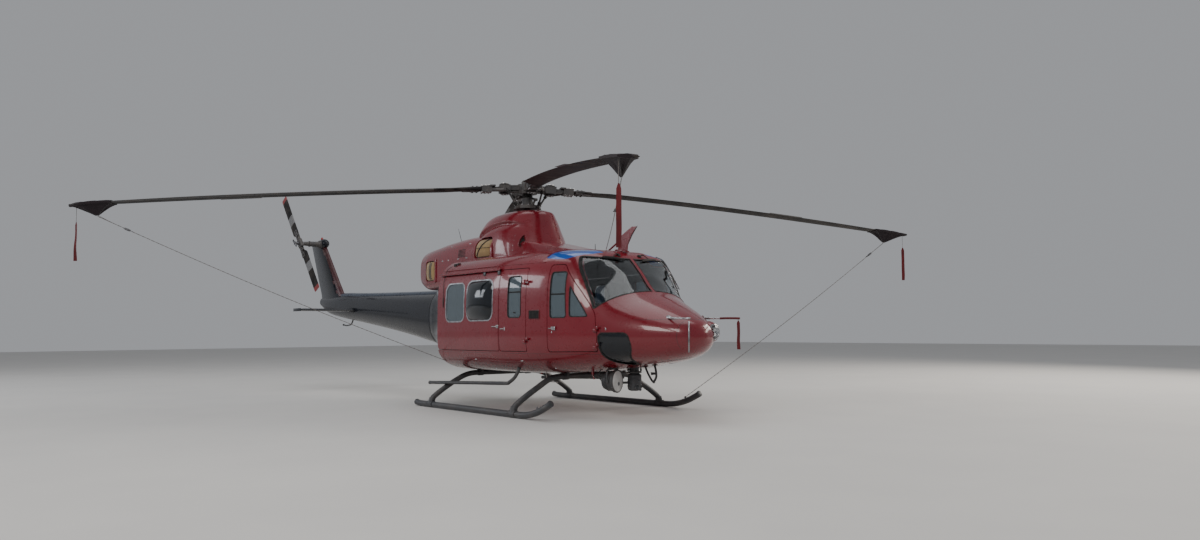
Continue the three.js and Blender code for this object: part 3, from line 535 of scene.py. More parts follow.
def tube(rings, around, place, caps=(True, True), poked=False):
    """A unit tube whose points move to place(ring, y, z). caps says which ends are closed."""
    bm = unit_tube(rings, around)
    ends = []
    for ring in (0, rings - 1):
        ends.append([edge for edge in bm.edges if all(abs(v.co.x - ring) < 0.01 for v in edge.verts)])
    for vert in bm.verts:
        vert.co = place(round(vert.co.x), vert.co.y, vert.co.z)
    for edges, cap in zip(ends, caps):
        if cap:
            faces = bmesh.ops.edgeloop_fill(bm, edges=edges)["faces"]
            if poked:
                bmesh.ops.poke(bm, faces=faces)
    return faced(bm)


def skin_mesh(rows, shape, around=64, grow=0.0, closed=(False, False)):
    """A tube over the given sections. closed says which ends get a cap."""
    return tube(len(rows), around, lambda k, y, z: shape(rows[k], math.atan2(z, y), grow), closed, True)


def grid(across, along, place, size=1):
    """A grid whose points move to place(u, v), where both run from -size to size."""
    bm = bmesh.new()
    bmesh.ops.create_grid(bm, x_segments=across, y_segments=along, size=size)
    for vert in bm.verts:
        vert.co = place(vert.co.x, vert.co.y)
    return bm


def round_off(bm, items, affect, width, segments):
    """Rounds the given corners or edges of a mesh."""
    bmesh.ops.bevel(bm, geom=items, affect=affect, offset=width, segments=segments, profile=0.5, material=-1)


def only(kind, items):
    """The items of one kind."""
    return [item for item in items if isinstance(item, kind)]


def prism(outline, radius, low, high, plan=False):
    """An outline in side view carried across Y, or in plan carried up Z."""
    bm = bmesh.new()
    for first, second in outline:
        bm.verts.new((first, second, low) if plan else (first, low, second))
    bm.faces.new(bm.verts)
    if radius:
        round_off(bm, bm.verts[:], "VERTICES", radius, 6)
    raised = only(bmesh.types.BMVert, bmesh.ops.extrude_face_region(bm, geom=bm.faces[:])["geom"])
    bmesh.ops.translate(bm, verts=raised, vec=(0, 0, high - low) if plan else (0, high - low, 0))
    return faced(bm)


def grown(outline, distance):
    """An outline with each edge moved outwards by the same distance."""
    area = sum(x0 * z1 - x1 * z0 for (x0, z0), (x1, z1) in zip(outline, outline[1:] + outline[:1]))
    side = distance * math.copysign(1, area)
    edges = []
    for (x0, z0), (x1, z1) in zip(outline, outline[1:] + outline[:1]):
        length = math.hypot(x1 - x0, z1 - z0)
        dx, dz = (x1 - x0) / length, (z1 - z0) / length
        edges.append((x0 + dz * side, z0 - dx * side, dx, dz))
    moved = []
    for (ax, az, adx, adz), (bx, bz, bdx, bdz) in zip(edges[-1:] + edges[:-1], edges):
        cross = adx * bdz - adz * bdx
        t = ((bx - ax) * bdz - (bz - az) * bdx) / cross
        moved.append((ax + adx * t, az + adz * t))
    return moved


def join(*parts):
    """One bmesh from several."""
    whole = bmesh.new()
    for part in parts:
        mesh = bpy.data.meshes.new("join")
        part.to_mesh(mesh)
        part.free()
        whole.from_mesh(mesh)
        bpy.data.meshes.remove(mesh)
    return whole


def both_sides(bm):
    """The mesh and its mirror image on the other side of the centreline."""
    other = bm.copy()
    bmesh.ops.scale(other, vec=(1, -1, 1), verts=other.verts)
    bmesh.ops.reverse_faces(other, faces=other.faces)
    return join(bm, other)


def mesh_object(name, bm):
    """An object in the scene from a bmesh, which is used up."""
    mesh = bpy.data.meshes.new(name)
    bm.to_mesh(mesh)
    bm.free()
    thing = bpy.data.objects.new(name, mesh)
    bpy.context.scene.collection.objects.link(thing)
    return thing


def settle(thing):
    """Replaces the object's mesh by what its modifiers make of it."""
    graph = bpy.context.evaluated_depsgraph_get()
    mesh = bpy.data.meshes.new_from_object(thing.evaluated_get(graph))
    thing.modifiers.clear()
    old = thing.data
    thing.data = mesh
    bpy.data.meshes.remove(old)
    return thing


def carve(thing, cutter, operation="DIFFERENCE"):
    """Cuts the cutter out of a piece, or keeps what lies in both."""
    tool = mesh_object("cutter", cutter)
    modifier = thing.modifiers.new("carve", "BOOLEAN")
    modifier.operation = operation
    modifier.object = tool
    modifier.solver = "EXACT"
    settle(thing)
    bpy.data.objects.remove(tool)
    return thing


def duplicate(thing, name):
    """A second object with a mesh of its own."""
    copy = bpy.data.objects.new(name, thing.data.copy())
    bpy.context.scene.collection.objects.link(copy)
    return copy


def thicken(thing, thickness, offset=-1, inner=0):
    """Gives a surface a wall. offset -1 lays it inwards, 0 in the middle. inner counts on to its material."""
    modifier = thing.modifiers.new("wall", "SOLIDIFY")
    modifier.thickness = thickness
    modifier.offset = offset
    modifier.material_offset = inner
    return settle(thing)


def shell(name, thickness, grow=0.0, inner=lining):
    """The cabin's skin with a wall inwards from its surface; the inside takes the second material."""
    thing = mesh_object(name, skin_mesh(cabin_rows, on_body, 64, grow, (True, False)))
    dress(thing, body_red, inner)
    return thicken(thing, thickness, inner=1)


def dress(thing, *materials):
    """Gives a piece its materials, in order."""
    for index, material in enumerate(materials):
        if index < len(thing.data.materials):
            thing.data.materials[index] = material
        else:
            thing.data.materials.append(material)


def finished(thing, body, slot, *nodes, angle=38, forward=mast_x):
    """Smooths a piece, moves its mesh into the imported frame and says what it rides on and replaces."""
    mesh = thing.data
    mesh.transform(Matrix.Translation((forward, 0, 0)))
    mesh.polygons.foreach_set("use_smooth", [True] * len(mesh.polygons))
    mesh.set_sharp_from_angle(angle=math.radians(angle))
    mesh.update()
    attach(thing, body)
    if nodes:
        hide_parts(*nodes)
    return thing


def made(name, bm, material, body="airframe", slot="dark_steel", *nodes, angle=38, forward=mast_x):
    """A finished piece of one material."""
    thing = mesh_object(name, bm)
    dress(thing, material)
    return finished(thing, body, slot, *nodes, angle=angle, forward=forward)


def pair(name, thing, body="airframe", slot="dark_steel", *nodes):
    """Finishes a starboard piece and its port twin. A body or node that ends in _right has a left one."""
    other = duplicate(thing, name + "_left")
    other.data.transform(Matrix.Scale(-1, 4, (0, 1, 0)))
    other.data.flip_normals()
    thing.name = name + "_right"
    finished(thing, body, slot, *nodes)
    left = [node.replace("_right", "_left") for node in nodes]
    finished(other, body.replace("_right", "_left"), slot, *left)
    return thing, other


def made_pair(name, bm, material, body="airframe", slot="dark_steel", *nodes):
    """A starboard piece of one material and its port twin."""
    thing = mesh_object(name, bm)
    dress(thing, material)
    return pair(name, thing, body, slot, *nodes)


def smooth_path(points, steps=6):
    """Points along a curve that passes through the given ones."""
    points = [Vector(point) for point in points]
    padded = [2 * points[0] - points[1], *points, 2 * points[-1] - points[-2]]
    curve = []
    for before, start, end, after in zip(padded, padded[1:], padded[2:], padded[3:]):
        for j in range(steps):
            t = j / steps
            bend = (2 * before - 5 * start + 4 * end - after) * t**2
            bend += (3 * (start - end) + after - before) * t**3
            curve.append(start + ((end - before) * t + bend) / 2)
    return curve + [points[-1]]


def swept(path, radii, around=14, flat=1.0, caps=True):
    """A round tube along a path. radii is one number or one for each point. flat squeezes it upright."""
    path = [Vector(point) for point in path]
    if not isinstance(radii, (list, tuple)):
        radii = [radii] * len(path)
    last = len(path) - 1
    tangents = [(path[min(k + 1, last)] - path[max(k - 1, 0)]).normalized() for k in range(len(path))]
    sideways = tangents[0].orthogonal().normalized()
    if abs(tangents[0].z) < 0.98:
        sideways = tangents[0].cross(Vector((0, 0, 1))).normalized()
    frames = []
    for tangent in tangents:
        sideways = (sideways - tangent * sideways.dot(tangent)).normalized()
        frames.append((sideways.copy(), tangent.cross(sideways)))

    def place(k, y, z):
        across, upward = frames[k]
        return path[k] + radii[k] * (across * y + upward * (z * flat))

    return tube(len(path), around, place, (caps, caps))


def turned(start, direction, profile, around=28):
    """A turned piece: profile is a list of distance along the axis and radius."""
    start, direction = Vector(start), Vector(direction).normalized()
    across = direction.orthogonal().normalized()
    upward = direction.cross(across)

    def place(k, y, z):
        distance, radius = profile[k]
        return start + direction * distance + radius * (across * y + upward * z)

    return tube(len(profile), around, place)


def block(size, place, bevel=0.006, segments=2, turn=None):
    """A block with rounded edges."""
    bm = bmesh.new()
    bmesh.ops.create_cube(bm, size=1)
    bmesh.ops.scale(bm, vec=size, verts=bm.verts)
    round_off(bm, bm.edges[:], "EDGES", bevel, segments)
    if turn:
        bmesh.ops.transform(bm, matrix=turn, verts=bm.verts)
    bmesh.ops.translate(bm, vec=place, verts=bm.verts)
    return bm


def bolt(place, direction, radius=0.009, height=0.007):
    """A hexagon head on a washer."""
    place, direction = Vector(place), Vector(direction).normalized()
    washer = turned(place, direction, [(-0.002, radius * 1.5), (height * 0.3, radius * 1.5)], 14)
    head = turned(place, direction, [(0, radius), (height * 0.8, radius), (height, radius * 0.8)], 6)
    return join(washer, head)


def foil(share):
    """Half the thickness of a smooth wing section, 1 at its thickest."""
    return 10 * (0.2969 * math.sqrt(share) - 0.126 * share - 0.3516 * share**2 + 0.2843 * share**3
                 - 0.1015 * share**4)


def round_wing(angle):
    """Share of the chord at an angle round a wing section, and 1 on its one face, -1 on the other."""
    face = 0 if abs(math.sin(angle)) < 1e-6 else math.copysign(1, math.sin(angle))
    return (1 - math.cos(angle)) / 2, face


def turned_about(bm, matrix):
    """The mesh itself, moved by a matrix."""
    bmesh.ops.transform(bm, matrix=matrix, verts=bm.verts)
    return bm


def paint_faces(thing, material, chosen):
    """Gives the faces whose centre is chosen a further material."""
    thing.data.materials.append(material)
    index = len(thing.data.materials) - 1
    for face in thing.data.polygons:
        if chosen(face.center):
            face.material_index = index


def section_at(x, sections):
    """The section at a station, between the listed ones."""
    ordered = sorted(sections)
    x = min(max(x, ordered[0][0]), ordered[-1][0])
    for first, second in zip(ordered, ordered[1:]):
        if first[0] <= x <= second[0]:
            share = (x - first[0]) / (second[0] - first[0])
            return [a + share * (b - a) for a, b in zip(first, second)]
    return ordered[-1]


def half_width(x, z, sections):
    """Half width of a body at a place on its side."""
    _, half, waist, top, bottom, upper, lower = section_at(x, sections)
    rise = (z - waist) / (top - waist) if z > waist else (waist - z) / (waist - bottom)
    power = upper if z > waist else lower
    return half * (1 - min(abs(rise), 0.999) ** power) ** (1 / power)


def cowl_side(x, z):
    """Half width of the cowl at a place on its side."""
    return half_width(x, z, cowl_sections)


def side_of_body(x, z, proud=0.0):
    """A place on the starboard side of the cabin."""
    return Vector((x, -half_width(x, z, cabin_sections) - proud, z))


def top_of_body(x, y, proud=0.0):
    """A place on the top of the cabin or on the windshield."""
    _, half, waist, top, _, upper, _ = section_at(x, cabin_sections)
    share = min(abs(y) / half, 0.999)
    return Vector((x, y, waist + (top - waist) * (1 - share ** upper) ** (1 / upper) + proud))


def under_body(x, y, proud=0.0):
    """A place on the underside of the cabin."""
    _, half, waist, _, bottom, _, lower = section_at(x, cabin_sections)
    share = min(abs(y) / half, 0.999)
    return Vector((x, y, waist - (waist - bottom) * (1 - share ** lower) ** (1 / lower) - proud))


def over_outline(outline, u, v, roundness=9.0):
    """A place inside a four-cornered outline; u and v run from -1 to 1, the corners are rounded off."""
    reach = (abs(u) ** roundness + abs(v) ** roundness) ** (1 / roundness)
    most = max(abs(u), abs(v))
    if reach > 0:
        u, v = u * most / reach, v * most / reach
    a, b, c, d = outline
    s, t = (u + 1) / 2, (v + 1) / 2
    x = (1 - t) * (a[0] * (1 - s) + b[0] * s) + t * (d[0] * (1 - s) + c[0] * s)
    z = (1 - t) * (a[1] * (1 - s) + b[1] * s) + t * (d[1] * (1 - s) + c[1] * s)
    return x, z


# Cabin: one smooth skin, from which doors, panes and trims are taken

cabin_rows = between(cabin_sections, 5)
# How far a cutter reaches across the starboard side
far, near = -1.6, -0.3
# How far it reaches up through the roof window, after the corner radius
roof_cut = (0.05, 2.19, 2.60, True)
windshield_corner = 0.03
pane_play = 0.001


def side(outline, radius):
    """A cutter through the starboard side."""
    return prism(outline, radius, far, near)


def make_floor():
    """The plain floor of the studio, which is no part of the model."""
    bm = bmesh.new()
    bmesh.ops.create_grid(bm, x_segments=8, y_segments=8, size=60)
    thing = mesh_object("studio_floor", bm)
    finish = Finish("studio_floor_paint")
    tone = finish.spread(finish.noise(0.7, 3), 0.3, 0.7)
    finish.link(finish.mix(tone, (0.60, 0.59, 0.57, 1), (0.57, 0.56, 0.545, 1)), "Base Color")
    finish.set(Roughness=0.75)
    dress(thing, finish.material)


def make_cabin():
    """The cabin's skin with its openings cut. Returns the uncut skin, for the doors."""
    skin = shell("fuselage_skin", 0.032)
    door_skin = duplicate(skin, "door_skin")
    doorway = [(-0.80, sill), (1.122, sill), (1.122, door_top), (-0.80, door_top)]
    for hole in (
        prism(windshield, windshield_corner, 0.034, 1.3),
        side(*door_cuts["crew_door"]),
        side(*door_cuts["panel_door"]),
        side(doorway, door_cuts["sliding_door"][1]),
        side(*window_cuts["chin_window"][:2]),
        prism(roof_window, *roof_cut),
    ):
        carve(skin, both_sides(hole))
    dress(skin, body_red)
    finished(skin, "airframe", "red_paint", "nose_shell", "cabin_belly", "cabin_roof", "cabin_side_right",
             "cabin_side_left")
    return door_skin


def make_doors(door_skin):
    """The leaves of the doors, with their windows cut out."""
    for name, (outline, radius) in door_cuts.items():
        leaf = duplicate(door_skin, name)
        carve(leaf, side(grown(outline, -door_gap), radius), "INTERSECT")
        cuts = [side(hole, corner) for hole, corner, door, _ in window_cuts.values() if door == name]
        carve(leaf, join(*cuts))
        dress(leaf, door_red)
        pair(name, leaf, name + "_right_body", "red_paint", name + "_right")


def carrier(door):
    """The body that a starboard window rides on."""
    return door + "_right_body" if door else "airframe"


def make_pane(sheet, name, cutter, glass, body="airframe", *nodes):
    """A pane and its port twin, cut from the sheet of glass."""
    pane = duplicate(sheet, name)
    carve(pane, cutter, "INTERSECT")
    dress(pane, glass, glass)
    pair(name, pane, body, "window_glass", *nodes)


def make_glass():
    """The flat panes, each in the middle of its wall. The bubble windows are made apart."""
    sheet = shell("glass_skin", 0.006, -0.010)
    front = prism(grown(windshield, -0.002), windshield_corner, -1.3, -0.036)
    make_pane(sheet, "windshield", front, clear_glass, "airframe", "windshield_right")
    for name, (outline, corner, door, _) in window_cuts.items():
        if name == "bubble_window":
            continue
        nodes = [] if name in ("quarter_window", "chin_window") else [name + "_right"]
        glass = side_glass if door else bubble_glass
        make_pane(sheet, name, side(grown(outline, -pane_play), corner), glass, carrier(door), *nodes)
    starboard = [(x, -y) for x, y in roof_window][::-1]
    make_pane(sheet, "roof_window", prism(grown(starboard, -pane_play), *roof_cut), roof_glass)
    bpy.data.objects.remove(sheet)


def make_bubbles():
    """The front window of each sliding door swells outwards from its frame, over a smooth base."""
    inside = grown(bubble_window, -pane_play)
    roundness, depth = 4.5, 0.105
    low, middle, high = [side_of_body(*over_outline(inside, 0, v, roundness)) for v in (-1, 0, 1)]

    def place(across, along):
        x, z = over_outline(inside, across, along, roundness)
        share = (z - low.z) / (high.z - low.z)
        u = min(1, abs(2 * (x - inside[0][0]) / (inside[1][0] - inside[0][0]) - 1))
        v = min(1, abs(2 * share - 1))
        edge = max(0, 1 - (u**roundness + v**roundness) ** 2)
        swell = ((1 - u * u) * (1 - v * v)) ** 0.6 * edge**0.4
        spot = side_of_body(x, z, -0.004)
        bow = low.y * (1 - share) + high.y * share
        bow += 4 * share * (1 - share) * (middle.y - (low.y + high.y) / 2)
        spot.y += (bow - spot.y) * min(1, 3 * swell) - depth * swell
        return spot

    thing = mesh_object("bubble_window", faced(grid(72, 72, place)))
    dress(thing, bubble_glass)
    thicken(thing, 0.005, 0)
    pair("bubble_window", thing, "sliding_door_right_body", "dark_bubble", "bubble_window_right")


def trim_ring(skin, name, outline, corner, outer, inner, material, body="airframe", end=near):
    """A band along an outline, from inner inside it to outer outside it, cut from a thin skin."""
    ring = duplicate(skin, name)
    carve(ring, prism(grown(outline, outer), corner + outer, far, end), "INTERSECT")
    through = end + 0.1 if end == near else end - outer * 0.6
    carve(ring, prism(grown(outline, -inner), max(corner - inner, 0.01), far - 0.1, through))
    dress(ring, material, material)
    pair(name, ring, body)


def make_trims():
    """Seals in the door gaps, and frames round the windows."""
    sunk = shell("seal_skin", 0.010, -0.020, seal_black)
    for name, (outline, corner) in door_cuts.items():
        if name == "sliding_door":
            # No seal at the rear edge, where the open door passes
            outline = [(x if x > 0 else x - 0.05, z) for x, z in outline]
        trim_ring(sunk, name + "_seal", outline, corner, 0.002, 0.005, seal_black)
    bpy.data.objects.remove(sunk)
    proud = shell("trim_skin", 0.016, 0.004, seal_black)
    trim_ring(proud, "windshield_seal", windshield, windshield_corner, 0.011, 0.004, seal_black, end=-0.03)
    for name, (outline, corner, door, width) in window_cuts.items():
        material = silver if door == "sliding_door" else seal_black
        trim_ring(proud, name + "_trim", outline, corner, width, 0.005, material, carrier(door))
    bpy.data.objects.remove(proud)


make_floor()
door_skin = make_cabin()
make_doors(door_skin)
bpy.data.objects.remove(door_skin)
make_glass()
make_bubbles()
make_trims()


# Main rotor

# angle from straight ahead, drop of the tip
blade_places = [(0, 0.800), (90, 0.670), (180, 0.700), (270, 0.450)]
# radius, trailing edge, leading edge, thickness
blade_stations = [
    (0.780, -0.100, 0.100, 0.090),
    (1.050, -0.160, 0.110, 0.070),
    (1.400, -0.280, 0.120, 0.052),
    (2.600, -0.280, 0.120, 0.048),
    (5.000, -0.275, 0.115, 0.040),
    (6.300, -0.260, 0.070, 0.030),
    (7.010, -0.230, -0.020, 0.020),
]
taper_start = 6.3
sock_length = 0.600
sock_end = rotor_radius + 0.030


def sag(radius, drop):
    """Height of a drooping blade against the hub."""
    return -drop * (0.6 * (radius / rotor_radius) + 0.4 * (radius / rotor_radius) ** 2)


def blade_point(row, angle, drop, grow=0.0):
    """The point at an angle round a section of a drooping blade."""
    radius, trailing, leading, thickness = row
    share, face = round_wing(angle)
    y = leading + grow - share * (leading - trailing + 2 * grow)
    rise = (foil(share) * thickness / 2 + grow) * face
    return Vector((radius, y, sag(radius, drop) + rise))


def at_blade(index):
    """From a blade's own frame, radius along X, to its place on the mast."""
    turn = first_blade_angle + math.radians(blade_places[index][0])
    return Matrix.Translation((0, 0, hub_height)) @ Matrix.Rotation(turn, 4, "Z")


def make_blade(index):
    """A drooping blade with a metal strip along its leading edge."""
    drop = blade_places[index][1]
    rows = between(blade_stations, 7)

    def shape(row, angle, grow):
        return blade_point(row, angle, drop, grow)

    thing = mesh_object(f"blade_{index + 1}_skin", skin_mesh(rows, shape, 36, closed=(True, True)))
    dress(thing, blade_black)
    leading = {round(row[0], 4): row[2] - 0.12 * (row[2] - row[1]) for row in rows}
    stations = sorted(leading)

    def on_edge(centre):
        station = min(stations, key=lambda value: abs(value - centre.x))
        return centre.x > 1.5 and centre.y > leading[station]

    paint_faces(thing, edge_metal, on_edge)
    thing.data.transform(at_blade(index))
    finished(thing, "main_rotor", "blade_skin", f"main_blade_{index + 1}", angle=50)


def make_root(index):
    """Doublers, bolts and a trim tab on each blade."""
    drop = blade_places[index][1]
    parts = []
    for radius, width, height in ((0.90, 0.19, 0.074), (1.02, 0.20, 0.062)):
        slope = Matrix.Rotation(math.atan2(-sag(radius, drop), radius), 4, "Y")
        parts.append(block((0.16, width, height), (radius, -0.012, sag(radius, drop)), 0.012, 3, slope))
    for radius in (0.86, 0.93):
        for y in (-0.055, 0.045):
            for sign in (1, -1):
                spot = (radius, y, sag(radius, drop) + sign * 0.038)
                parts.append(bolt(spot, (0, 0, sign), 0.014, 0.014))
    tab_radius = 4.6
    fall = drop * (0.6 / rotor_radius + 0.8 * tab_radius / rotor_radius**2)
    level = Matrix.Rotation(math.atan(fall), 4, "Y")
    tab = block((0.62, 0.055, 0.004), (tab_radius, -0.298, sag(tab_radius, drop)), 0.0015, 1, level)
    fittings = turned_about(join(*parts, tab), at_blade(index))
    made(f"blade_{index + 1}_root_fittings", fittings, hub_grey, "main_rotor")


def tip_share(radius):
    """How far along the tapered tip a radius lies."""
    return (min(radius, rotor_radius) - taper_start) / (rotor_radius - taper_start)


def sock_edges(radius):
    """Trailing and leading edge of the tip cover at a radius."""
    share = tip_share(radius)
    near_end = max(0.0, (radius - rotor_radius + 0.20) / 0.23)
    return -0.268 + 0.030 * share, 0.074 - 0.090 * share - 0.10 * near_end**2


def make_sock(index):
    """A cloth sock over the blade's tip, closed at its outer end and crumpled."""
    drop = blade_places[index][1]
    seed = random.Random(index + 5)
    waves = [seed.uniform(0, 6.28) for _ in range(3)]
    count = 17
    first, last = rotor_radius - sock_length, sock_end
    rows = []
    for k in range(count):
        radius = first + (last - first) * k / (count - 1)
        rows.append((radius, *sock_edges(radius), 0.030 - 0.010 * tip_share(radius)))

    def shape(row, angle, grow):
        point = blade_point(row, angle, drop, 0.011)
        crumple = math.sin(row[0] * 31 + waves[0]) * math.sin(angle * 3 + waves[1])
        crumple += 0.6 * math.sin(row[0] * 67 + waves[2] + 2 * angle)
        top = 0.010 if math.sin(angle) > 0 else 0.0
        bulge = top * math.sin(math.pi * min(1, (row[0] - first) / sock_length))
        point.z += 0.0022 * crumple + bulge
        return point

    sleeve = mesh_object(f"tip_sock_{index + 1}", skin_mesh(rows, shape, 40, closed=(False, True)))
    dress(sleeve, sock_cloth)
    thicken(sleeve, 0.0015)
    sleeve.data.transform(at_blade(index))
    finished(sleeve, "main_rotor", "dark_cloth", f"tip_cover_{index + 1}", angle=60)


def flap_top(share, drop):
    """A place on the seam under the tip cover, once round it as the share goes from 0 to 1."""
    first, last = rotor_radius - sock_length + 0.012, sock_end - 0.030
    quarter, part = int(share * 4) % 4, share * 4 % 1
    along = (part, 1.0, 1 - part, 0.0)[quarter]
    across = (0.0, part, 1.0, 1 - part)[quarter]
    radius = first + (last - first) * along
    trailing, leading = sock_edges(radius)
    y = trailing + 0.014 + (leading - trailing - 0.028) * across
    return Vector((radius, y, sag(radius, drop) - 0.012))


def make_flap(index):
    """The cloth skirt that hangs from a tip cover down to the rope's eye, with its piped corners."""
    drop = blade_places[index][1]
    middle = rotor_radius - sock_length / 2
    apex = Vector((middle - 0.075, -0.100, sag(middle, drop) - 0.190))

    def skirt_point(share, v):
        top = flap_top(share, drop)
        point = top.lerp(apex, 0.95 * v)
        outward = Vector((point.x - apex.x, point.y - apex.y, 0))
        pleat = 0.10 * math.sin(10 * math.pi * share + index)
        pleat += 0.05 * math.sin(26 * math.pi * share + 2 * index)
        return point + outward * ((pleat - 0.14) * math.sin(math.pi * v))

    bm = unit_tube(13, 64)
    for vert in bm.verts:
        share = math.atan2(vert.co.z, vert.co.y) / math.tau % 1
        vert.co = skirt_point(share, vert.co.x / 12)
    faced(bm)
    area = sum(face.calc_area() for face in bm.faces)
    flap = mesh_object(f"tip_flap_{index + 1}", bm)
    dress(flap, sock_cloth)
    thicken(flap, 0.0016)
    flap.data.transform(at_blade(index))
    finished(flap, "main_rotor", "dark_cloth", angle=60)
    hems = [swept([skirt_point(k / 4 + 0.001, v / 10) for v in range(11)], 0.0035, 8) for k in range(4)]
    hem = turned_about(join(*hems), at_blade(index))
    edge = made(f"tip_hem_{index + 1}", hem, strap_black, "main_rotor", "dark_cloth")
    eye = [(0, 0.012), (0.002, 0.015), (0.010, 0.015), (0.012, 0.012)]
    ring = turned(apex + Vector((0, -0.006, 0.012)), (0, 1, 0), eye, 20)
    made(f"tip_grommet_{index + 1}", turned_about(ring, at_blade(index)), bright_steel, "main_rotor")
    return at_blade(index) @ apex


# Tail: boom spine, fin, stabilisers and tail rotor

# height, leading edge, chord, half thickness
fin_stations = [
    (2.000, -7.540, 1.350, 0.102),
    (2.060, -7.560, 1.330, 0.100),
    (2.450, -7.900, 1.180, 0.092),
    (3.020, -8.420, 0.960, 0.080),
    (3.400, -8.780, 0.800, 0.070),
    (3.470, -8.880, 0.720, 0.050),
]
stabiliser_chord = 0.480
stabiliser_front = -6.430
stabiliser_height = 1.720


def fin_point(row, angle, grow):
    """The point at an angle round a level section of the fin."""
    z, front, chord, half = row
    share, face = round_wing(angle)
    return Vector((front - share * chord, face * foil(share) * (half + grow), z))


def make_fin():
    """The fin with its painted leading edge, the tail rotor's gearbox on it and the lamp."""
    rows = between(fin_stations, 5)
    fin = mesh_object("fin_skin", skin_mesh(rows, fin_point, 40, closed=(True, True)))
    dress(fin, slate)
    front_at = {round(row[0], 4): row[1] - 0.13 * row[2] for row in rows}
    heights = sorted(front_at)

    def on_edge(centre):
        height = min(heights, key=lambda value: abs(value - centre.z))
        return centre.x > front_at[height]

    paint_faces(fin, fin_red, on_edge)
    finished(fin, "airframe", "slate_paint", "tail_fin", angle=40)
    ball = bmesh.new()
    bmesh.ops.create_uvsphere(ball, u_segments=36, v_segments=20, radius=1)
    bmesh.ops.scale(ball, vec=(0.230, 0.110, 0.120), verts=ball.verts)
    bmesh.ops.translate(ball, vec=(-8.830, 0, 3.400), verts=ball.verts)
    made("tail_gearbox_fairing", ball, slate, "airframe", "slate_paint")
    housing = turned((tail_hub.x, -0.02, tail_hub.z), (0, -1, 0), [
        (0, 0.100), (0.10, 0.096), (0.13, 0.075), (0.17, 0.066), (0.33, 0.060), (0.335, 0.070), (0.36, 0.070),
        (0.365, 0.056), (0.47, 0.048), (0.498, 0.044),
    ])
    circle = 0.083
    spots = [(tail_hub.x + circle * math.cos(a), -0.13, tail_hub.z + circle * math.sin(a)) for a in turns(8)]
    studs = [bolt(spot, (0, -1, 0), 0.008) for spot in spots]
    made("tail_gearbox_housing", join(housing, *studs), hub_grey)
    bulb = [(0, 0.034), (0.02, 0.034), (0.035, 0.028), (0.060, 0.022), (0.070, 0.008)]
    made("fin_lamp", turned((-8.93, 0, 3.505), (-0.3, 0, 1), bulb, 20), lamp_red, "airframe", "dark_bubble")


def make_spine():
    """The drive shaft's cover along the boom, in short hinged lengths."""
    joints = [-2.74, -3.62, -4.50, -5.38, -6.26, -7.10, -7.52]
    tops = between([(row[0], row[3]) for row in boom_sections], 8)

    def top_at(x):
        for (x0, z0), (x1, z1) in zip(tops, tops[1:]):
            if x1 <= x <= x0:
                return z0 + (z1 - z0) * (x - x0) / (x1 - x0)
        return tops[-1][1]

    for k, (front, rear) in enumerate(zip(joints, joints[1:])):
        stations = [front - 0.006 + (rear - front + 0.012) * j / 6 for j in range(7)]
        path = [Vector((x, 0, top_at(x) - 0.052)) for x in stations]
        cover = swept(path, 0.105, 28, 0.62)
        clip = []
        for j in (1, 5):
            for sign in (-1, 1):
                place = path[j] + Vector((0, sign * 0.100, 0.012))
                clip.append(block((0.06, 0.012, 0.022), place, 0.004))
        made(f"spine_cover_{k + 1}", join(cover, *clip), spine_grey, "airframe", "slate_paint")


def make_stabilisers():
    """The stabilisers with their end plates and root collars."""
    # place across, chord, half thickness
    rows = [(-0.15, 0.480, 0.030), (-1.340, 0.480, 0.030), (-1.405, 0.468, 0.026), (-1.428, 0.440, 0.017),
            (-1.435, 0.400, 0.006)]

    def shape(row, angle, grow):
        y, chord, half = row
        share, face = round_wing(angle)
        x = stabiliser_front - (stabiliser_chord - chord) / 2 - share * chord
        return Vector((x, y, stabiliser_height - face * foil(share) * half))

    wing = skin_mesh(rows, shape, 36, closed=(True, True))
    made_pair("stabiliser", wing, slate, "airframe", "slate_paint", "stabiliser_right")
    end = block((0.44, 0.008, 0.065), (stabiliser_front - 0.24, -1.438, stabiliser_height), 0.003)
    made_pair("stabiliser_end", end, slate, "airframe", "slate_paint")
    root = [(stabiliser_front - 0.10, y, stabiliser_height) for y in (-0.20, -0.30)]
    made_pair("stabiliser_root", swept(root, 0.055, 24, 0.9), slate, "airframe", "slate_paint")


def make_tail_skid():
    """The bent tube under the fin."""
    line = [(-7.00, 0, 1.56), (-7.12, 0, 1.42), (-7.27, 0, 1.39), (-7.42, 0, 1.385), (-7.56, 0, 1.40)]
    foot = swept([(-7.56, 0, 1.40), (-7.575, 0, 1.402)], 0.022, 16)
    made("tail_skid", join(swept(smooth_path(line), 0.016, 16), foot), gear_grey)


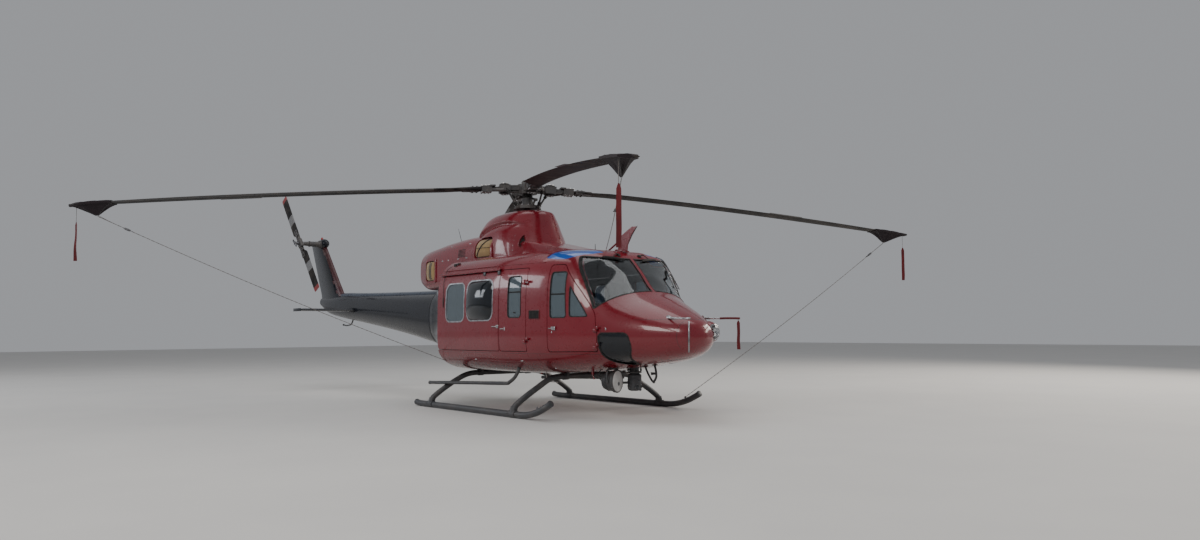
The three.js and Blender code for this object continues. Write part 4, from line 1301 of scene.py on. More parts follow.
def make_tail_rotor():
    """Two banded blades with their yoke and shaft, built upright on the hub."""
    # radius, trailing edge, leading edge, half thickness
    stations = [
        (0.060, -0.085, 0.045, 0.030), (0.200, -0.085, 0.045, 0.030), (0.330, -0.203, 0.087, 0.016),
        (1.200, -0.203, 0.087, 0.015), (1.275, -0.200, 0.082, 0.010), (1.295, -0.185, 0.070, 0.006),
    ]

    def shape(row, angle, grow):
        radius, trailing, leading, half = row
        share, face = round_wing(angle)
        return Vector((leading - share * (leading - trailing), face * foil(share) * half, radius))

    tilt = Matrix.Rotation(-tail_blade_lean, 4, "Y") @ Matrix.Rotation(tail_teeter, 4, "X")
    place = Matrix.Translation(tail_hub)
    for k in range(2):
        skin = skin_mesh(between(stations, 4), shape, 32, closed=(True, True))
        blade = mesh_object(f"tail_blade_{k + 1}", skin)
        dress(blade, blade_black)
        # White bands darkened to grey as painted shade, then the red tip
        paint_faces(blade, white_band_in_painted_shade, lambda centre: 0.52 < centre.z < 0.70 or 0.88 < centre.z < 1.02)
        paint_faces(blade, blade_tip_red, lambda centre: centre.z > 1.19)
        blade.data.transform(place @ tilt @ Matrix.Rotation(math.pi * k, 4, "Y"))
        finished(blade, "tail_rotor_body", "blade_skin", *(["tail_rotor"] if k == 0 else []), angle=40)
    made("tail_rotor_yoke", turned_about(tail_yoke(), place @ tilt), hub_grey, "tail_rotor_body")
    shaft = turned(tail_hub + Vector((0, 0.069, 0)), (0, -1, 0), [
        (0, 0.050), (0.04, 0.050), (0.045, 0.058), (0.095, 0.058), (0.10, 0.044), (0.145, 0.044),
        (0.15, 0.036), (0.19, 0.036), (0.195, 0.042), (0.215, 0.042), (0.219, 0.030),
    ])
    arm_turn = Matrix.Rotation(math.radians(60) - tail_blade_lean, 4, "Y")
    arm = turned_about(block((0.28, 0.024, 0.046), (0, 0, 0), 0.008),
                       place @ Matrix.Translation((0, -0.138, 0)) @ arm_turn)
    made("tail_rotor_shaft", join(shaft, arm), steel, "tail_rotor_body")


def tail_yoke():
    """The blades' grips with their bolts, pitch links and horns, and the block between them."""
    parts = []
    for sign in (1, -1):
        parts.append(block((0.11, 0.066, 0.20), (-0.01, 0, sign * 0.20), 0.014, 3))
        parts.append(block((0.15, 0.050, 0.11), (-0.015, 0, sign * 0.315), 0.012, 3))
        for z in (0.16, 0.24, 0.32):
            parts.append(bolt((0.01, -0.034, sign * z), (0, -1, 0), 0.011, 0.010))
            parts.append(bolt((-0.035, 0.034, sign * z), (0, 1, 0), 0.011, 0.010))
        parts.append(swept([(0.105, -0.055, sign * 0.18), (0.105, -0.135, sign * 0.13)], 0.010, 12))
        parts.append(block((0.10, 0.030, 0.045), (0.075, -0.035, sign * 0.20), 0.008))
    parts.append(block((0.17, 0.075, 0.21), (0, 0, 0), 0.018, 3))
    return join(*parts)


# Landing gear

front_cross, rear_cross = 1.700, -0.700
saddle_top = 0.108


def cross_path(x, belly):
    """The line of a cross tube, from saddle to saddle under the belly."""
    top = belly - cross_radius - 0.0003
    half = [
        (x, 1.424, 0.060), (x, 1.405, 0.135), (x, 1.340, 0.195), (x, 1.180, 0.300), (x, 0.960, 0.425),
        (x, 0.780, top - 0.032), (x, 0.600, top - 0.002), (x, 0.300, top),
    ]
    return smooth_path([(x, -y, z) for x, y, z in half] + [(x, 0, top)] + half[::-1], 5)


def make_cross_tube(name, x, belly):
    """A cross tube with its clamps under the belly."""
    path = [point for point in cross_path(x, belly) if point.z > saddle_top - 0.04]
    parts = [swept(path, cross_radius, 24)]
    for sign in (-1, 1):
        top = belly - cross_radius
        parts.append(swept([(x, sign * 0.44, top), (x, sign * 0.53, top)], cross_radius + 0.010, 24))
        parts.append(block((0.16, 0.05, 0.030), (x, sign * 0.485, belly - 0.006), 0.006))
        for ahead in (-0.063, 0.063):
            parts.append(bolt((x + ahead, sign * 0.485, belly - 0.022), (0, 0, -1), 0.009))
    made(name + "_skin", join(*parts), gear_grey, "airframe", "dark_steel", name)


def make_skid():
    """A skid with its end caps, saddles, wear shoes and towing eye."""
    y = -skid_half_width
    line = skid_radius + 0.004
    path = smooth_path([
        (-1.190, y, 0.062), (-1.060, y, line), (-0.5, y, line), (0.5, y, line), (1.5, y, line),
        (1.800, y, line), (2.060, y, 0.062), (2.310, y, 0.118), (2.530, y, 0.205), (2.610, y, 0.248),
    ], 5)
    parts = [swept(path, skid_radius, 24)]
    cap = [(0, skid_radius + 0.003), (0.016, skid_radius + 0.003), (0.022, skid_radius - 0.006)]
    for end, step in ((path[0], path[1]), (path[-1], path[-2])):
        outward = (end - step).normalized()
        parts.append(turned(end - outward * 0.01, outward, cap, 24))
    for x in (front_cross, rear_cross):
        parts.append(swept([(x - 0.085, y, 0.052), (x + 0.085, y, 0.052)], skid_radius + 0.008, 24))
        neck = [(x, y - 0.004, 0.060), (x, y + 0.010, 0.112), (x, y + 0.022, 0.150)]
        parts.append(swept(neck, cross_radius + 0.009, 24))
        for ahead in (-0.066, 0.066):
            for out in (-1, 1):
                parts.append(bolt((x + ahead, y + out * 0.052, 0.066), (0, out, 0.25), 0.008))
        for ahead in (1, -1):
            parts.append(bolt((x + ahead * 0.052, y + 0.004, 0.120), (ahead, 0, 0), 0.009))
    made_pair("skid_tube", join(*parts), gear_grey, "airframe", "dark_steel", "skid_right")
    shoes = []
    for first, last in ((-1.060, -0.140), (-0.130, 0.850), (0.860, 1.900)):
        middle = (first + last) / 2
        shoes.append(block((last - first, 0.052, 0.016), (middle, y, 0.008), 0.004))
        for x in (first + 0.05, middle, last - 0.05):
            shoes.append(bolt((x, y - 0.027, 0.010), (0, -1, 0), 0.006, 0.004))
    made_pair("skid_shoe", join(*shoes), steel)
    ring = [(-0.006, 0.018), (-0.003, 0.022), (0.003, 0.022), (0.006, 0.018)]
    made_pair("skid_eye", turned((2.30, y, 0.172), (0, 1, 0), ring, 20), steel)


def make_step():
    """The step tube along the cabin, with its treads and its foot on the rear cross tube."""
    path = smooth_path([
        (-1.200, -1.170, 0.372), (-0.900, -1.166, 0.382), (0.100, -1.146, 0.418), (1.030, -1.128, 0.447),
        (1.150, -1.118, 0.472), (1.225, -1.080, 0.535), (1.260, -1.040, 0.625), (1.270, -1.010, 0.720),
    ], 5)
    parts = [swept(path, 0.027, 20)]
    parts.append(swept([(-1.215, -1.1705, 0.3715), (-1.198, -1.170, 0.372)], 0.030, 20))
    parts.append(block((0.10, 0.10, 0.018), (rear_cross, -1.150, 0.372), 0.006))
    slope = Matrix.Rotation(-0.033, 4, "Y")
    for k in range(22):
        x = 0.95 - k * 0.088
        share = (x + 0.900) / 1.93
        tread = (x, -1.166 + 0.038 * share, 0.382 + 0.065 * share + 0.0255)
        parts.append(block((0.055, 0.040, 0.004), tread, 0.0015, 1, slope))
    flange = [(-0.02, 0.040), (-0.012, 0.046), (0.0, 0.046), (0.006, 0.040)]
    parts.append(turned((1.270, -1.010, 0.700), (0, 0.15, 1), flange))
    made_pair("step_rail", join(*parts), gear_grey, "airframe", "dark_steel", "step_tube_right")


# Mouths in the cowl and the covers in them

intake = [(-0.665, 2.465), (-0.185, 2.465), (-0.225, 2.795), (-0.645, 2.795)]
exhaust = [(-2.535, 2.160), (-2.150, 2.160), (-2.150, 2.530), (-2.535, 2.530)]
# The oval inlet on the fairing's shoulder: its middle, half its height and how far it leans aft
vent_x, vent_z = 0.475, 2.685
vent_reach = 0.105
vent_lean = 0.12
# Where the cutters of the mouths start, outside the cowl
mouth_start = -0.9


def cover_point(outline, u, v, proud, puff):
    """A place on a padded cover, which swells, folds and is tucked in at its edge."""
    x, z = over_outline(outline, u, v)
    swell = (1 - abs(u) ** 3) * (1 - abs(v) ** 3)
    fold = 0.5 + 0.5 * math.sin(7 * u + 3 * v) * math.sin(5 * v - 2 * u)
    edge = max(abs(u), abs(v))
    tuck = 0.030 * max(0, (edge - 0.86) / 0.14) ** 2
    return Vector((x, -(cowl_side(x, z) + proud + puff * swell + 0.004 * fold * swell - tuck), z))


def make_cover(name, outline, proud, puff, straps, node):
    """A padded cloth cover: a full front over the mouth, its edge turned back into the mouth, and straps."""
    inside = grown(outline, -0.004)
    front = grid(30, 30, lambda u, v: cover_point(inside, u, v, proud, puff))
    rim = [edge for edge in front.edges if edge.is_boundary]
    back = bmesh.ops.extrude_edge_only(front, edges=rim)["geom"]
    for vert in only(bmesh.types.BMVert, back):
        vert.co.y += 0.045
    rim = [edge for edge in only(bmesh.types.BMEdge, back) if edge.is_boundary]
    bmesh.ops.edgeloop_fill(front, edges=rim)
    thing = mesh_object(name, faced(front))
    dress(thing, tan_cloth)
    for padded in pair(name, thing, "airframe", "tan_cover", node):
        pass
    bands = []
    for (first_u, first_v), (last_u, last_v) in straps:
        points = []
        for k in range(13):
            u = first_u + (last_u - first_u) * k / 12
            v = first_v + (last_v - first_v) * k / 12
            points.append(cover_point(inside, u, v, proud + 0.002, puff))
        slanting = abs(first_u - last_u) > 0.5
        bands.append(swept(points, 0.016, 10, 0.16) if slanting else ribbon(points, 0.032, 0.003))
    made_pair(name + "_strap", join(*bands), strap_black, "airframe", "dark_cloth")


def ribbon(points, width, thickness, across=Vector((1, 0, 0))):
    """A flat band along a path, its width along the given direction."""
    bm = unit_tube(len(points), 4)
    for vert in bm.verts:
        k = round(vert.co.x)
        tangent = (points[min(k + 1, len(points) - 1)] - points[max(k - 1, 0)]).normalized()
        sideways = (across - tangent * across.dot(tangent)).normalized()
        outward = tangent.cross(sideways)
        corner = math.atan2(vert.co.z, vert.co.y) + math.pi / 4
        aside = sideways * math.copysign(width / 2, math.cos(corner))
        vert.co = points[k] + aside + outward * math.copysign(thickness / 2, math.sin(corner))
    bmesh.ops.contextual_create(bm, geom=[edge for edge in bm.edges if edge.is_boundary])
    return faced(bm)


def frame_ring(name, outline, width, radius, proud):
    """The raised frame round a mouth."""
    outer = grown(outline, width)

    def place(u, v):
        x, z = over_outline(outer, u, v)
        return Vector((x, -(cowl_side(x, z) + proud), z))

    thing = mesh_object(name, faced(grid(24, 24, place)))
    wall = thing.modifiers.new("wall", "SOLIDIFY")
    wall.thickness = 0.05
    wall.offset = -1
    edge = thing.modifiers.new("edge", "BEVEL")
    edge.width = 0.006
    edge.segments = 2
    settle(thing)
    carve(thing, side(outline, radius))
    dress(thing, door_red)
    pair(name, thing, "airframe", "red_paint")


def fairing_side(x, z):
    """Half width of the mast fairing at a place on its side."""
    _, front, rear, half, ahead, behind = section_at(z, fairing_rings)
    middle, reach = (front + rear) / 2, (front - rear) / 2
    power = ahead if x > middle else behind
    return half * (1 - min(abs(x - middle) / reach, 0.999) ** power) ** (1 / power)


def cove_height(x):
    """The crease over each shoulder of the fairing, highest beside the mast."""
    return 3.035 - 0.26 * ((x + 0.05) / 0.95) ** 2


def make_rear():
    """The rear body, the tail boom, and the bolted band between them."""
    rear = skin_mesh(between(rear_sections, 6), on_body, 72, closed=(True, True))
    made("rear_skin", rear, rear_two_tone, "airframe", "red_paint", "rear_body")
    # The boom's top is lowered under the spine's cover
    lowered = [(*row[:3], row[3] - 0.045, *row[4:]) for row in boom_sections[:-1]] + boom_sections[-1:]
    boom = skin_mesh(between(lowered, 6), on_body, 48, closed=(True, True))
    made("boom_skin", boom, slate, "airframe", "slate_paint", "tail_boom")
    front = (-2.676, 0.404, 1.490, 2.012, 0.963, 2.5, 2.3)
    back = (-2.712, 0.402, 1.490, 2.010, 0.964, 2.45, 2.3)
    thing = mesh_object("boom_joint", skin_mesh([front, back], on_body, 72, grow=0.003))
    dress(thing, slate)
    thicken(thing, 0.006)
    finished(thing, "airframe", "slate_paint")
    middle = (-2.694, *front[1:])
    rivets = []
    for a in [(k + 0.5) * math.tau / 30 for k in range(30)]:
        spot = on_body(middle, a, 0.003)
        rivets.append(bolt(spot, spot - Vector((middle[0], 0, 1.49)), 0.007, 0.005))
    made("boom_joint_bolts", join(*rivets), steel)


def make_fairing():
    """The mast fairing with a crease over each shoulder, its inlets and the collar round the mast."""
    def shape(row, angle, grow):
        point = on_fairing(row, angle, grow)
        if abs(point.y) > 0.05 and -1.00 < point.x < 0.55:
            drop = cove_height(point.x) - point.z
            rise = max(0.0, min(1.0, (drop + 0.030) / 0.060))
            rise = rise * rise * (3 - 2 * rise)
            fall = max(0.0, 1 - max(0.0, drop - 0.030) / 0.150) ** 2
            fade = max(0.0, min(1.0, (point.x + 1.00) / 0.25, (0.55 - point.x) / 0.45))
            point.y -= math.copysign(0.060 * rise * fall * fade, point.y)
        return point

    skin = skin_mesh(between(fairing_rings, 26), shape, 160, closed=(True, True))
    thing = mesh_object("fairing_skin", skin)
    dress(thing, cowl_red)
    carve(thing, turned((0, 0, 3.15), (0, 0, 1), [(0, 0.15), (0.2, 0.15)], 40))
    carve(thing, both_sides(prism(grown(intake, 0.02), 0.06, mouth_start, -0.42)))
    vent_depth = -fairing_side(vent_x, vent_z) + 0.045
    carve(thing, both_sides(prism(vent_outline(), 0, mouth_start, vent_depth)))
    finished(thing, "airframe", "red_paint", "mast_fairing", angle=32)
    make_ramp()
    lip = [(0.0, 0.150), (0.004, 0.160), (0.012, 0.162), (0.018, 0.158), (0.020, 0.148)]
    made("mast_collar", turned((0, 0, 3.206), (0, 0, 1), lip, 48), seal_black)
    make_shoulder_vents()


def make_ramp():
    """The cover over the controls, from the fairing's foot forward over the roof."""
    def place(along, across):
        s = (along + 1) / 2
        half = 0.47 - 0.10 * s
        x, y = 0.35 + 1.62 * s, across * half
        shoulder = (1 - abs(across) ** 5) ** 0.2
        base = top_of_body(x, y).z - 0.015
        return Vector((x, y, base + max(0.0, 2.745 - 0.335 * s - base) * shoulder))

    made("fairing_ramp", faced(grid(26, 30, place)), cowl_red, "airframe", "red_paint", angle=50)


def vent_outline():
    """The oval inlet on the fairing's shoulder, leaning aft."""
    outline = []
    for a in turns(26):
        z = vent_z + vent_reach * math.sin(a)
        outline.append((vent_x + 0.050 * math.cos(a) + vent_lean * (z - vent_z), z))
    return outline


def make_shoulder_vents():
    """Painted shade: a black plate with slats inside the oval inlet on each side of the fairing, and its
    rolled edge.
    """
    # Black plate at the bottom of the inlet: painted shade for its dark depth
    shade_plate = bmesh.new()
    shade_plate.faces.new([shade_plate.verts.new((x, 0.030 - fairing_side(x, z), z)) for x, z in vent_outline()])
    bmesh.ops.poke(shade_plate, faces=shade_plate.faces[:])
    bmesh.ops.solidify(shade_plate, geom=shade_plate.faces[:], thickness=0.004)
    slats = []
    for k in range(7):
        z = 2.610 + 0.025 * k
        reach = 0.046 * math.sqrt(1 - ((z - vent_z) / vent_reach) ** 2)
        middle = vent_x + vent_lean * (z - vent_z)
        ends = [middle + reach * step / 3 for step in range(-3, 4)]
        slats.append(swept([(x, 0.018 - fairing_side(x, z), z) for x in ends], 0.0035, 8))
    # The plate's black is painted shade; the slats are real and black
    made_pair("shoulder_vent", join(shade_plate, *slats), seal_black)
    edge = [Vector((x, -fairing_side(x, z) - 0.001, z)) for x, z in vent_outline()]
    rolled = swept(edge + [edge[0]], 0.006, 10, caps=False)
    made_pair("shoulder_vent_ring", rolled, door_red, "airframe", "red_paint")
    x = 0.33
    heights = [2.46 + 0.080 * k for k in range(5)]
    studs = [bolt((x, -fairing_side(x, z) - 0.001, z), (0, -1, 0), 0.006, 0.004) for z in heights]
    made_pair("fairing_studs", join(*studs), bright_steel)


def make_cowl():
    """The engine cowl with its mouths, frames and covers, the tailpipe, catches and louvres."""
    thing = mesh_object("cowl_skin", skin_mesh(between(cowl_sections, 8), on_body, 88, closed=(True, True)))
    dress(thing, cowl_red)
    for outline, radius, depth in ((intake, 0.06, -0.50), (exhaust, 0.08, -0.44)):
        carve(thing, both_sides(prism(outline, radius, mouth_start, depth)))
    finished(thing, "airframe", "red_paint", "engine_cowl", angle=32)
    frame_ring("intake_frame", intake, 0.045, 0.05, 0.018)
    frame_ring("exhaust_frame", exhaust, 0.045, 0.07, 0.020)
    crossed = [((-0.72, -0.98), (0.55, 0.98)), ((-0.98, 0.05), (0.98, -0.02))]
    upright = [((0.10, -0.98), (0.10, 0.98)), ((0.38, -0.98), (0.38, 0.98))]
    make_cover("intake_cover", intake, 0.002, 0.030, crossed, "intake_cover_right")
    make_cover("exhaust_cover", exhaust, 0.004, 0.040, upright, "exhaust_cover_right")
    pipe = turned((-2.60, 0, 2.560), (-0.51, 0, 0.10), [
        (0.0, 0.172), (0.30, 0.160), (0.42, 0.156), (0.445, 0.170), (0.470, 0.172), (0.505, 0.166),
        (0.520, 0.152), (0.512, 0.136), (0.40, 0.130), (0.12, 0.128), (0.10, 0.100),
    ], 48)
    made("tailpipe", pipe, engine_dark, "airframe", "engine_metal")
    catches = []
    for x, z in ((-0.95, 2.50), (-1.25, 2.50), (-1.62, 2.50), (-1.85, 2.50), (-0.90, 2.74), (-1.60, 2.74)):
        spot = Vector((x, -cowl_side(x, z) - 0.002, z))
        catches.append(block((0.050, 0.006, 0.020), spot, 0.002, 1))
        catches.append(bolt(spot + Vector((0.014, -0.003, 0)), (0, -1, 0), 0.004, 0.003))
    made_pair("cowl_catches", join(*catches), bright_steel)
    slats = []
    x = -1.12
    for k in range(6):
        z = 2.53 + 0.024 * k
        spot = Vector((x, -cowl_side(x, z) - 0.001, z))
        slats.append(block((0.24, 0.014, 0.010), spot, 0.003, 1, Matrix.Rotation(0.5, 4, "X")))
    made_pair("cowl_louvres", join(*slats), seal_black)


# Ropes, streamers and their fittings

def make_streamer(name, top, length, width, body, cord_length=0.24):
    """A red warning streamer that hangs from a cord, a little twisted and waved."""
    line = [top, top - Vector((0.002, 0, cord_length * 0.5)), top - Vector((0, 0, cord_length))]
    cord = made(name + "_cord", swept(line, 0.003, 10), rope_fibre, body, "dark_cloth", forward=0)
    phase = random.Random(len(name) + int(top.x * 10)).uniform(0, 6)

    def place(u, height):
        v = 0.5 - height
        turn = 0.35 + 0.9 * math.sin(1.4 * v + phase) * v
        narrow = min(1, 0.25 + v * 9) if v < 0.1 else 1
        across = Vector((math.cos(turn), math.sin(turn), 0))
        wave = 0.010 * math.sin(8 * v + phase) * v
        curl = 0.10 * width * (1 - (2 * u) ** 2)
        point = top - Vector((0, 0, cord_length - 0.004 + v * length))
        return point + across * (u * width * narrow) + Vector((-across.y, across.x, 0)) * (wave + curl)

    thing = mesh_object(name, faced(grid(6, 46, place, 0.5)))
    dress(thing, streamer_cloth)
    thicken(thing, 0.0012)
    finished(thing, body, "dark_cloth", angle=60, forward=0)


def make_rope(name, start, end, fittings, bridle=None):
    """A taut tie-down rope of two twisted strands, with the fittings that are clipped along it."""
    count, droop, strand_place, strand_radius = 140, 0.010, 0.0026, 0.0034
    along = end - start
    across = along.cross(Vector((0, 0, 1))).normalized()
    upward = across.cross(along).normalized()

    def on_rope(t):
        return start + along * t + Vector((0, 0, -droop * math.sin(math.pi * t) * along.length))

    strands = []
    for strand in range(2):
        points = []
        for k in range(count + 1):
            t = k / count
            turn = t * along.length * 42 + strand * math.pi
            points.append(on_rope(t) + (across * math.cos(turn) + upward * math.sin(turn)) * strand_place)
        strands.append(swept(points, strand_radius, 6))
    made(name, join(*strands), rope_fibre, "airframe", "dark_cloth", forward=0)
    if bridle:
        meeting = on_rope(0.045)
        line = smooth_path([bridle, bridle.lerp(meeting, 0.5) - Vector((0, 0, 0.006)), meeting], 5)
        made(name + "_bridle", swept(line, 0.004, 8), rope_fibre, "airframe", "dark_cloth", forward=0)
    direction = along.normalized()
    barrel = [(-0.05, 0.006), (-0.045, 0.014), (-0.02, 0.017), (0.02, 0.017), (0.045, 0.014), (0.05, 0.006)]
    metal = []
    for place in [on_rope(share) for share in fittings]:
        metal.append(turned(place, direction, barrel, 18))
        ring = [place + direction * (0.075 + 0.022 * math.cos(a)) + across * 0.022 * math.sin(a)
                for a in turns(16, 1)]
        metal.append(swept(ring, 0.0045, 8, caps=False))
    made(name + "_fittings", join(*metal), steel, forward=0)


def make_rigging(apexes):
    """The three ropes that tie the blades down, and a streamer on each tip cover."""
    ahead = Vector((mast_x, 0, 0))
    roof_end = Vector((2.09 + mast_x, 0.0, 2.455))
    toe_end = Vector((2.30 + mast_x, 1.42, 0.178))
    cabin_end = Vector((-0.668 + mast_x, -1.150, 0.742))
    bridles = []
    for index in (1, 3):
        radius = rotor_radius - 0.30
        spot = Vector((radius, -0.105, sag(radius, blade_places[index][1]) - 0.125))
        bridles.append(at_blade(index) @ spot + ahead)
    make_rope("rope_to_roof", apexes[0] + ahead, roof_end, (0.10, 0.17, 0.30))
    make_rope("rope_to_port_toe", apexes[1] + ahead, toe_end, (0.08,), bridles[0])
    make_rope("rope_to_cabin", apexes[3] + ahead, cabin_end, (0.08,), bridles[1])
    for index in range(4):
        spot = Vector((rotor_radius - 0.05, -0.215, sag(rotor_radius, blade_places[index][1]) - 0.01))
        make_streamer(f"tip_streamer_{index + 1}", at_blade(index) @ spot + ahead, 0.60, 0.052, "main_rotor")


# Rotor head, lamps, camera, cutters, aerials and other fittings

def dress_arm(turn, arm, steel_parts, rubber_parts, bright_parts):
    """Damper stacks, bolts, horn and pitch link of one arm. arm slopes with its blade, turn stays level."""
    damper, link_foot, link_head = 0.39, (0.190, 0.150, 3.308 - hub_height), (0.380, 0.205, -0.040)
    discs = []
    for k in range(3):
        z = 0.060 + 0.009 * k
        radius = 0.088 if k % 2 else 0.080
        discs += [(z, radius), (z + 0.007, radius)]
    for sign in (1, -1):
        rubber_parts.append(turned_about(turned((damper, 0, 0), (0, 0, sign), discs, 32), arm))
        cap = turned((damper, 0, 0), (0, 0, sign), [(0.084, 0.074), (0.092, 0.068), (0.098, 0.050)], 32)
        steel_parts.append(turned_about(cap, arm))
        for a in turns(6):
            spot = (damper + 0.050 * math.cos(a), 0.050 * math.sin(a), sign * 0.095)
            bright_parts.append(turned_about(bolt(spot, (0, 0, sign), 0.009, 0.010), arm))
    for x in (0.66, 0.72, 0.78):
        for y in (-0.080, 0.080):
            for sign in (1, -1):
                grip_bolt = bolt((x, y, sign * 0.052), (0, 0, sign), 0.013, 0.014)
                bright_parts.append(turned_about(grip_bolt, arm))
    steel_parts.append(turned_about(block((0.10, 0.26, 0.030), (0.60, 0, 0.048), 0.010, 2), arm))
    for sign in (1, -1):
        steel_parts.append(turned_about(block((0.20, 0.10, 0.040), (0.21, 0, sign * 0.045), 0.014, 3), arm))
    horn = smooth_path([(0.60, 0.10, -0.02), (0.50, 0.165, -0.035), (0.395, 0.205, -0.038)], 4)
    steel_parts.append(turned_about(swept(horn, 0.024, 16), arm))
    ball = [(-0.020, 0.016), (-0.014, 0.028), (0.014, 0.028), (0.020, 0.016)]
    for place in (link_head, link_foot):
        steel_parts.append(turned_about(turned(place, (0, 1, 0), ball, 20), turn))
    boot = [(0.012 * k, 0.030 - 0.005 * (k % 2)) for k in range(6)]
    low, high = Vector((0.190, 0.150, 3.300 - hub_height)), Vector(link_head)
    along = (high - low).normalized()
    rubber_parts.append(turned_about(turned(low + along * 0.04, along, boot, 18), turn))
    rubber_parts.append(turned_about(turned(high - along * 0.04, -along, boot, 18), turn))


def dress_mast(steel_parts, rubber_parts, bright_parts):
    """Bolt circles, the scissors on both sides and the ribbed sleeve round the mast."""
    up = (0, 0, 1)
    # radius of the circle, height, radius and height of a head
    circles = ((0.125, hub_height + 0.070, 0.012, 0.014), (0.205, 3.345, 0.010, 0.010))
    for a in turns(12):
        for circle, z, radius, height in circles:
            bright_parts.append(bolt((circle * math.cos(a), circle * math.sin(a), z), up, radius, height))
    pin = [(0, 0.018), (0.004, 0.024), (0.066, 0.024), (0.07, 0.018)]
    for sign in (1, -1):
        knee = (sign * 0.235, 0, 3.43)
        steel_parts.append(swept([(sign * 0.20, -0.03, 3.345), knee], 0.018, 14))
        steel_parts.append(swept([knee, (sign * 0.09, 0, 3.475)], 0.018, 14))
        steel_parts.append(turned((sign * 0.235, -0.035, 3.43), (0, 1, 0), pin, 20))
    ribs = [(0.00, 0.092), (0.012, 0.078), (0.024, 0.092), (0.036, 0.078), (0.048, 0.090), (0.060, 0.070)]
    rubber_parts.append(turned((0, 0, 3.480), up, ribs, 32))


def make_hub():
    """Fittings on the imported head, gathered by what they are made of."""
    parts = steel_parts, rubber_parts, bright_parts = [], [], []
    for index, (_, drop) in enumerate(blade_places):
        turn = at_blade(index)
        slope = math.atan2(-sag(blade_root, drop), blade_root)
        dress_arm(turn, turn @ Matrix.Rotation(slope, 4, "Y"), *parts)
    dress_mast(*parts)
    made("hub_fittings", join(*steel_parts), hub_grey, "main_rotor")
    made("hub_rubbers", join(*rubber_parts), seal_black, "main_rotor")
    made("hub_bolts", join(*bright_parts), bright_steel, "main_rotor")


def make_searchlight():
    """A drum lamp with a white front, a dark rim, cooling ribs, a fork, a mount and its cable."""
    x, y, z = 2.730, -0.430, 0.520
    ahead = Vector((1, 0.38, 0)).normalized()
    centre = Vector((x, y, z))
    drum = turned(centre, ahead, [
        (-0.140, 0.060), (-0.132, 0.092), (-0.100, 0.118), (-0.060, 0.132), (0.000, 0.142), (0.040, 0.150),
        (0.044, 0.160), (0.070, 0.160), (0.076, 0.156),
    ], 48)
    made("searchlight_drum", drum, gear_grey, "airframe", "dark_steel", "searchlight")
    edge = [(0, 0.1605), (0.006, 0.164), (0.014, 0.164), (0.018, 0.158)]
    rim = turned(centre + ahead * 0.066, ahead, edge, 48)
    ribs = []
    for k in range(4):
        spot = centre - ahead * (0.052 + 0.022 * k)
        inner, outer = 0.128 - 0.008 * k, 0.141 - 0.009 * k
        ribs.append(turned(spot, ahead, [(0, inner), (0.002, outer), (0.008, outer), (0.010, inner)], 40))
    plate = [(-0.02, 0.050), (-0.015, 0.060), (0.004, 0.060), (0.010, 0.040)]
    mount = [turned((x, y, 0.700), (0, 0, 1), plate, 28)]
    aside = Vector((-ahead.y, ahead.x, 0))
    pivot = [(0, 0.020), (0.024, 0.024), (0.032, 0.016)]
    for sign in (-1, 1):
        foot = centre + aside * (sign * 0.158)
        shoulder = centre + aside * (sign * 0.07) + Vector((0, 0, 0.185))
        arm = smooth_path([foot, foot + Vector((0, 0, 0.13)), shoulder, centre + Vector((0, 0, 0.190))], 5)
        mount.append(swept(arm, 0.014, 14))
        mount.append(turned(foot - aside * sign * 0.02, aside * sign, pivot, 20))
    cable = smooth_path([centre - ahead * 0.13, centre - ahead * 0.20 + Vector((0, 0, 0.02)),
                         centre - ahead * 0.20 + Vector((0, 0, 0.14)), (x - 0.10, y + 0.02, 0.712)], 6)
    mount.append(swept(cable, 0.008, 12))
    mount.append(swept([centre + Vector((0.0, 0.15, -0.03)), (2.775, -0.175, 0.490)], 0.017, 16))
    made("searchlight_mount", join(*mount, *ribs, rim), gear_grey)
    face = [(0, 0.154), (0.012, 0.150), (0.020, 0.130), (0.026, 0.08), (0.028, 0.02)]
    front = turned(centre + ahead * 0.070, ahead, face, 48)
    made("searchlight_front", front, white_paint, "airframe", "white_paint")
    button = [(0, 0.026), (0.010, 0.026), (0.013, 0.018)]
    latch = [turned(centre + ahead * 0.090 - Vector((0, 0, 0.035)), ahead, button, 24)]
    for k in range(3):
        a = math.radians(90 + 120 * k)
        spot = centre + ahead * 0.074 + (aside * math.cos(a) + Vector((0, 0, math.sin(a)))) * 0.158
        latch.append(block((0.020, 0.020, 0.014), spot, 0.004))
    made("searchlight_latches", join(*latch), steel)


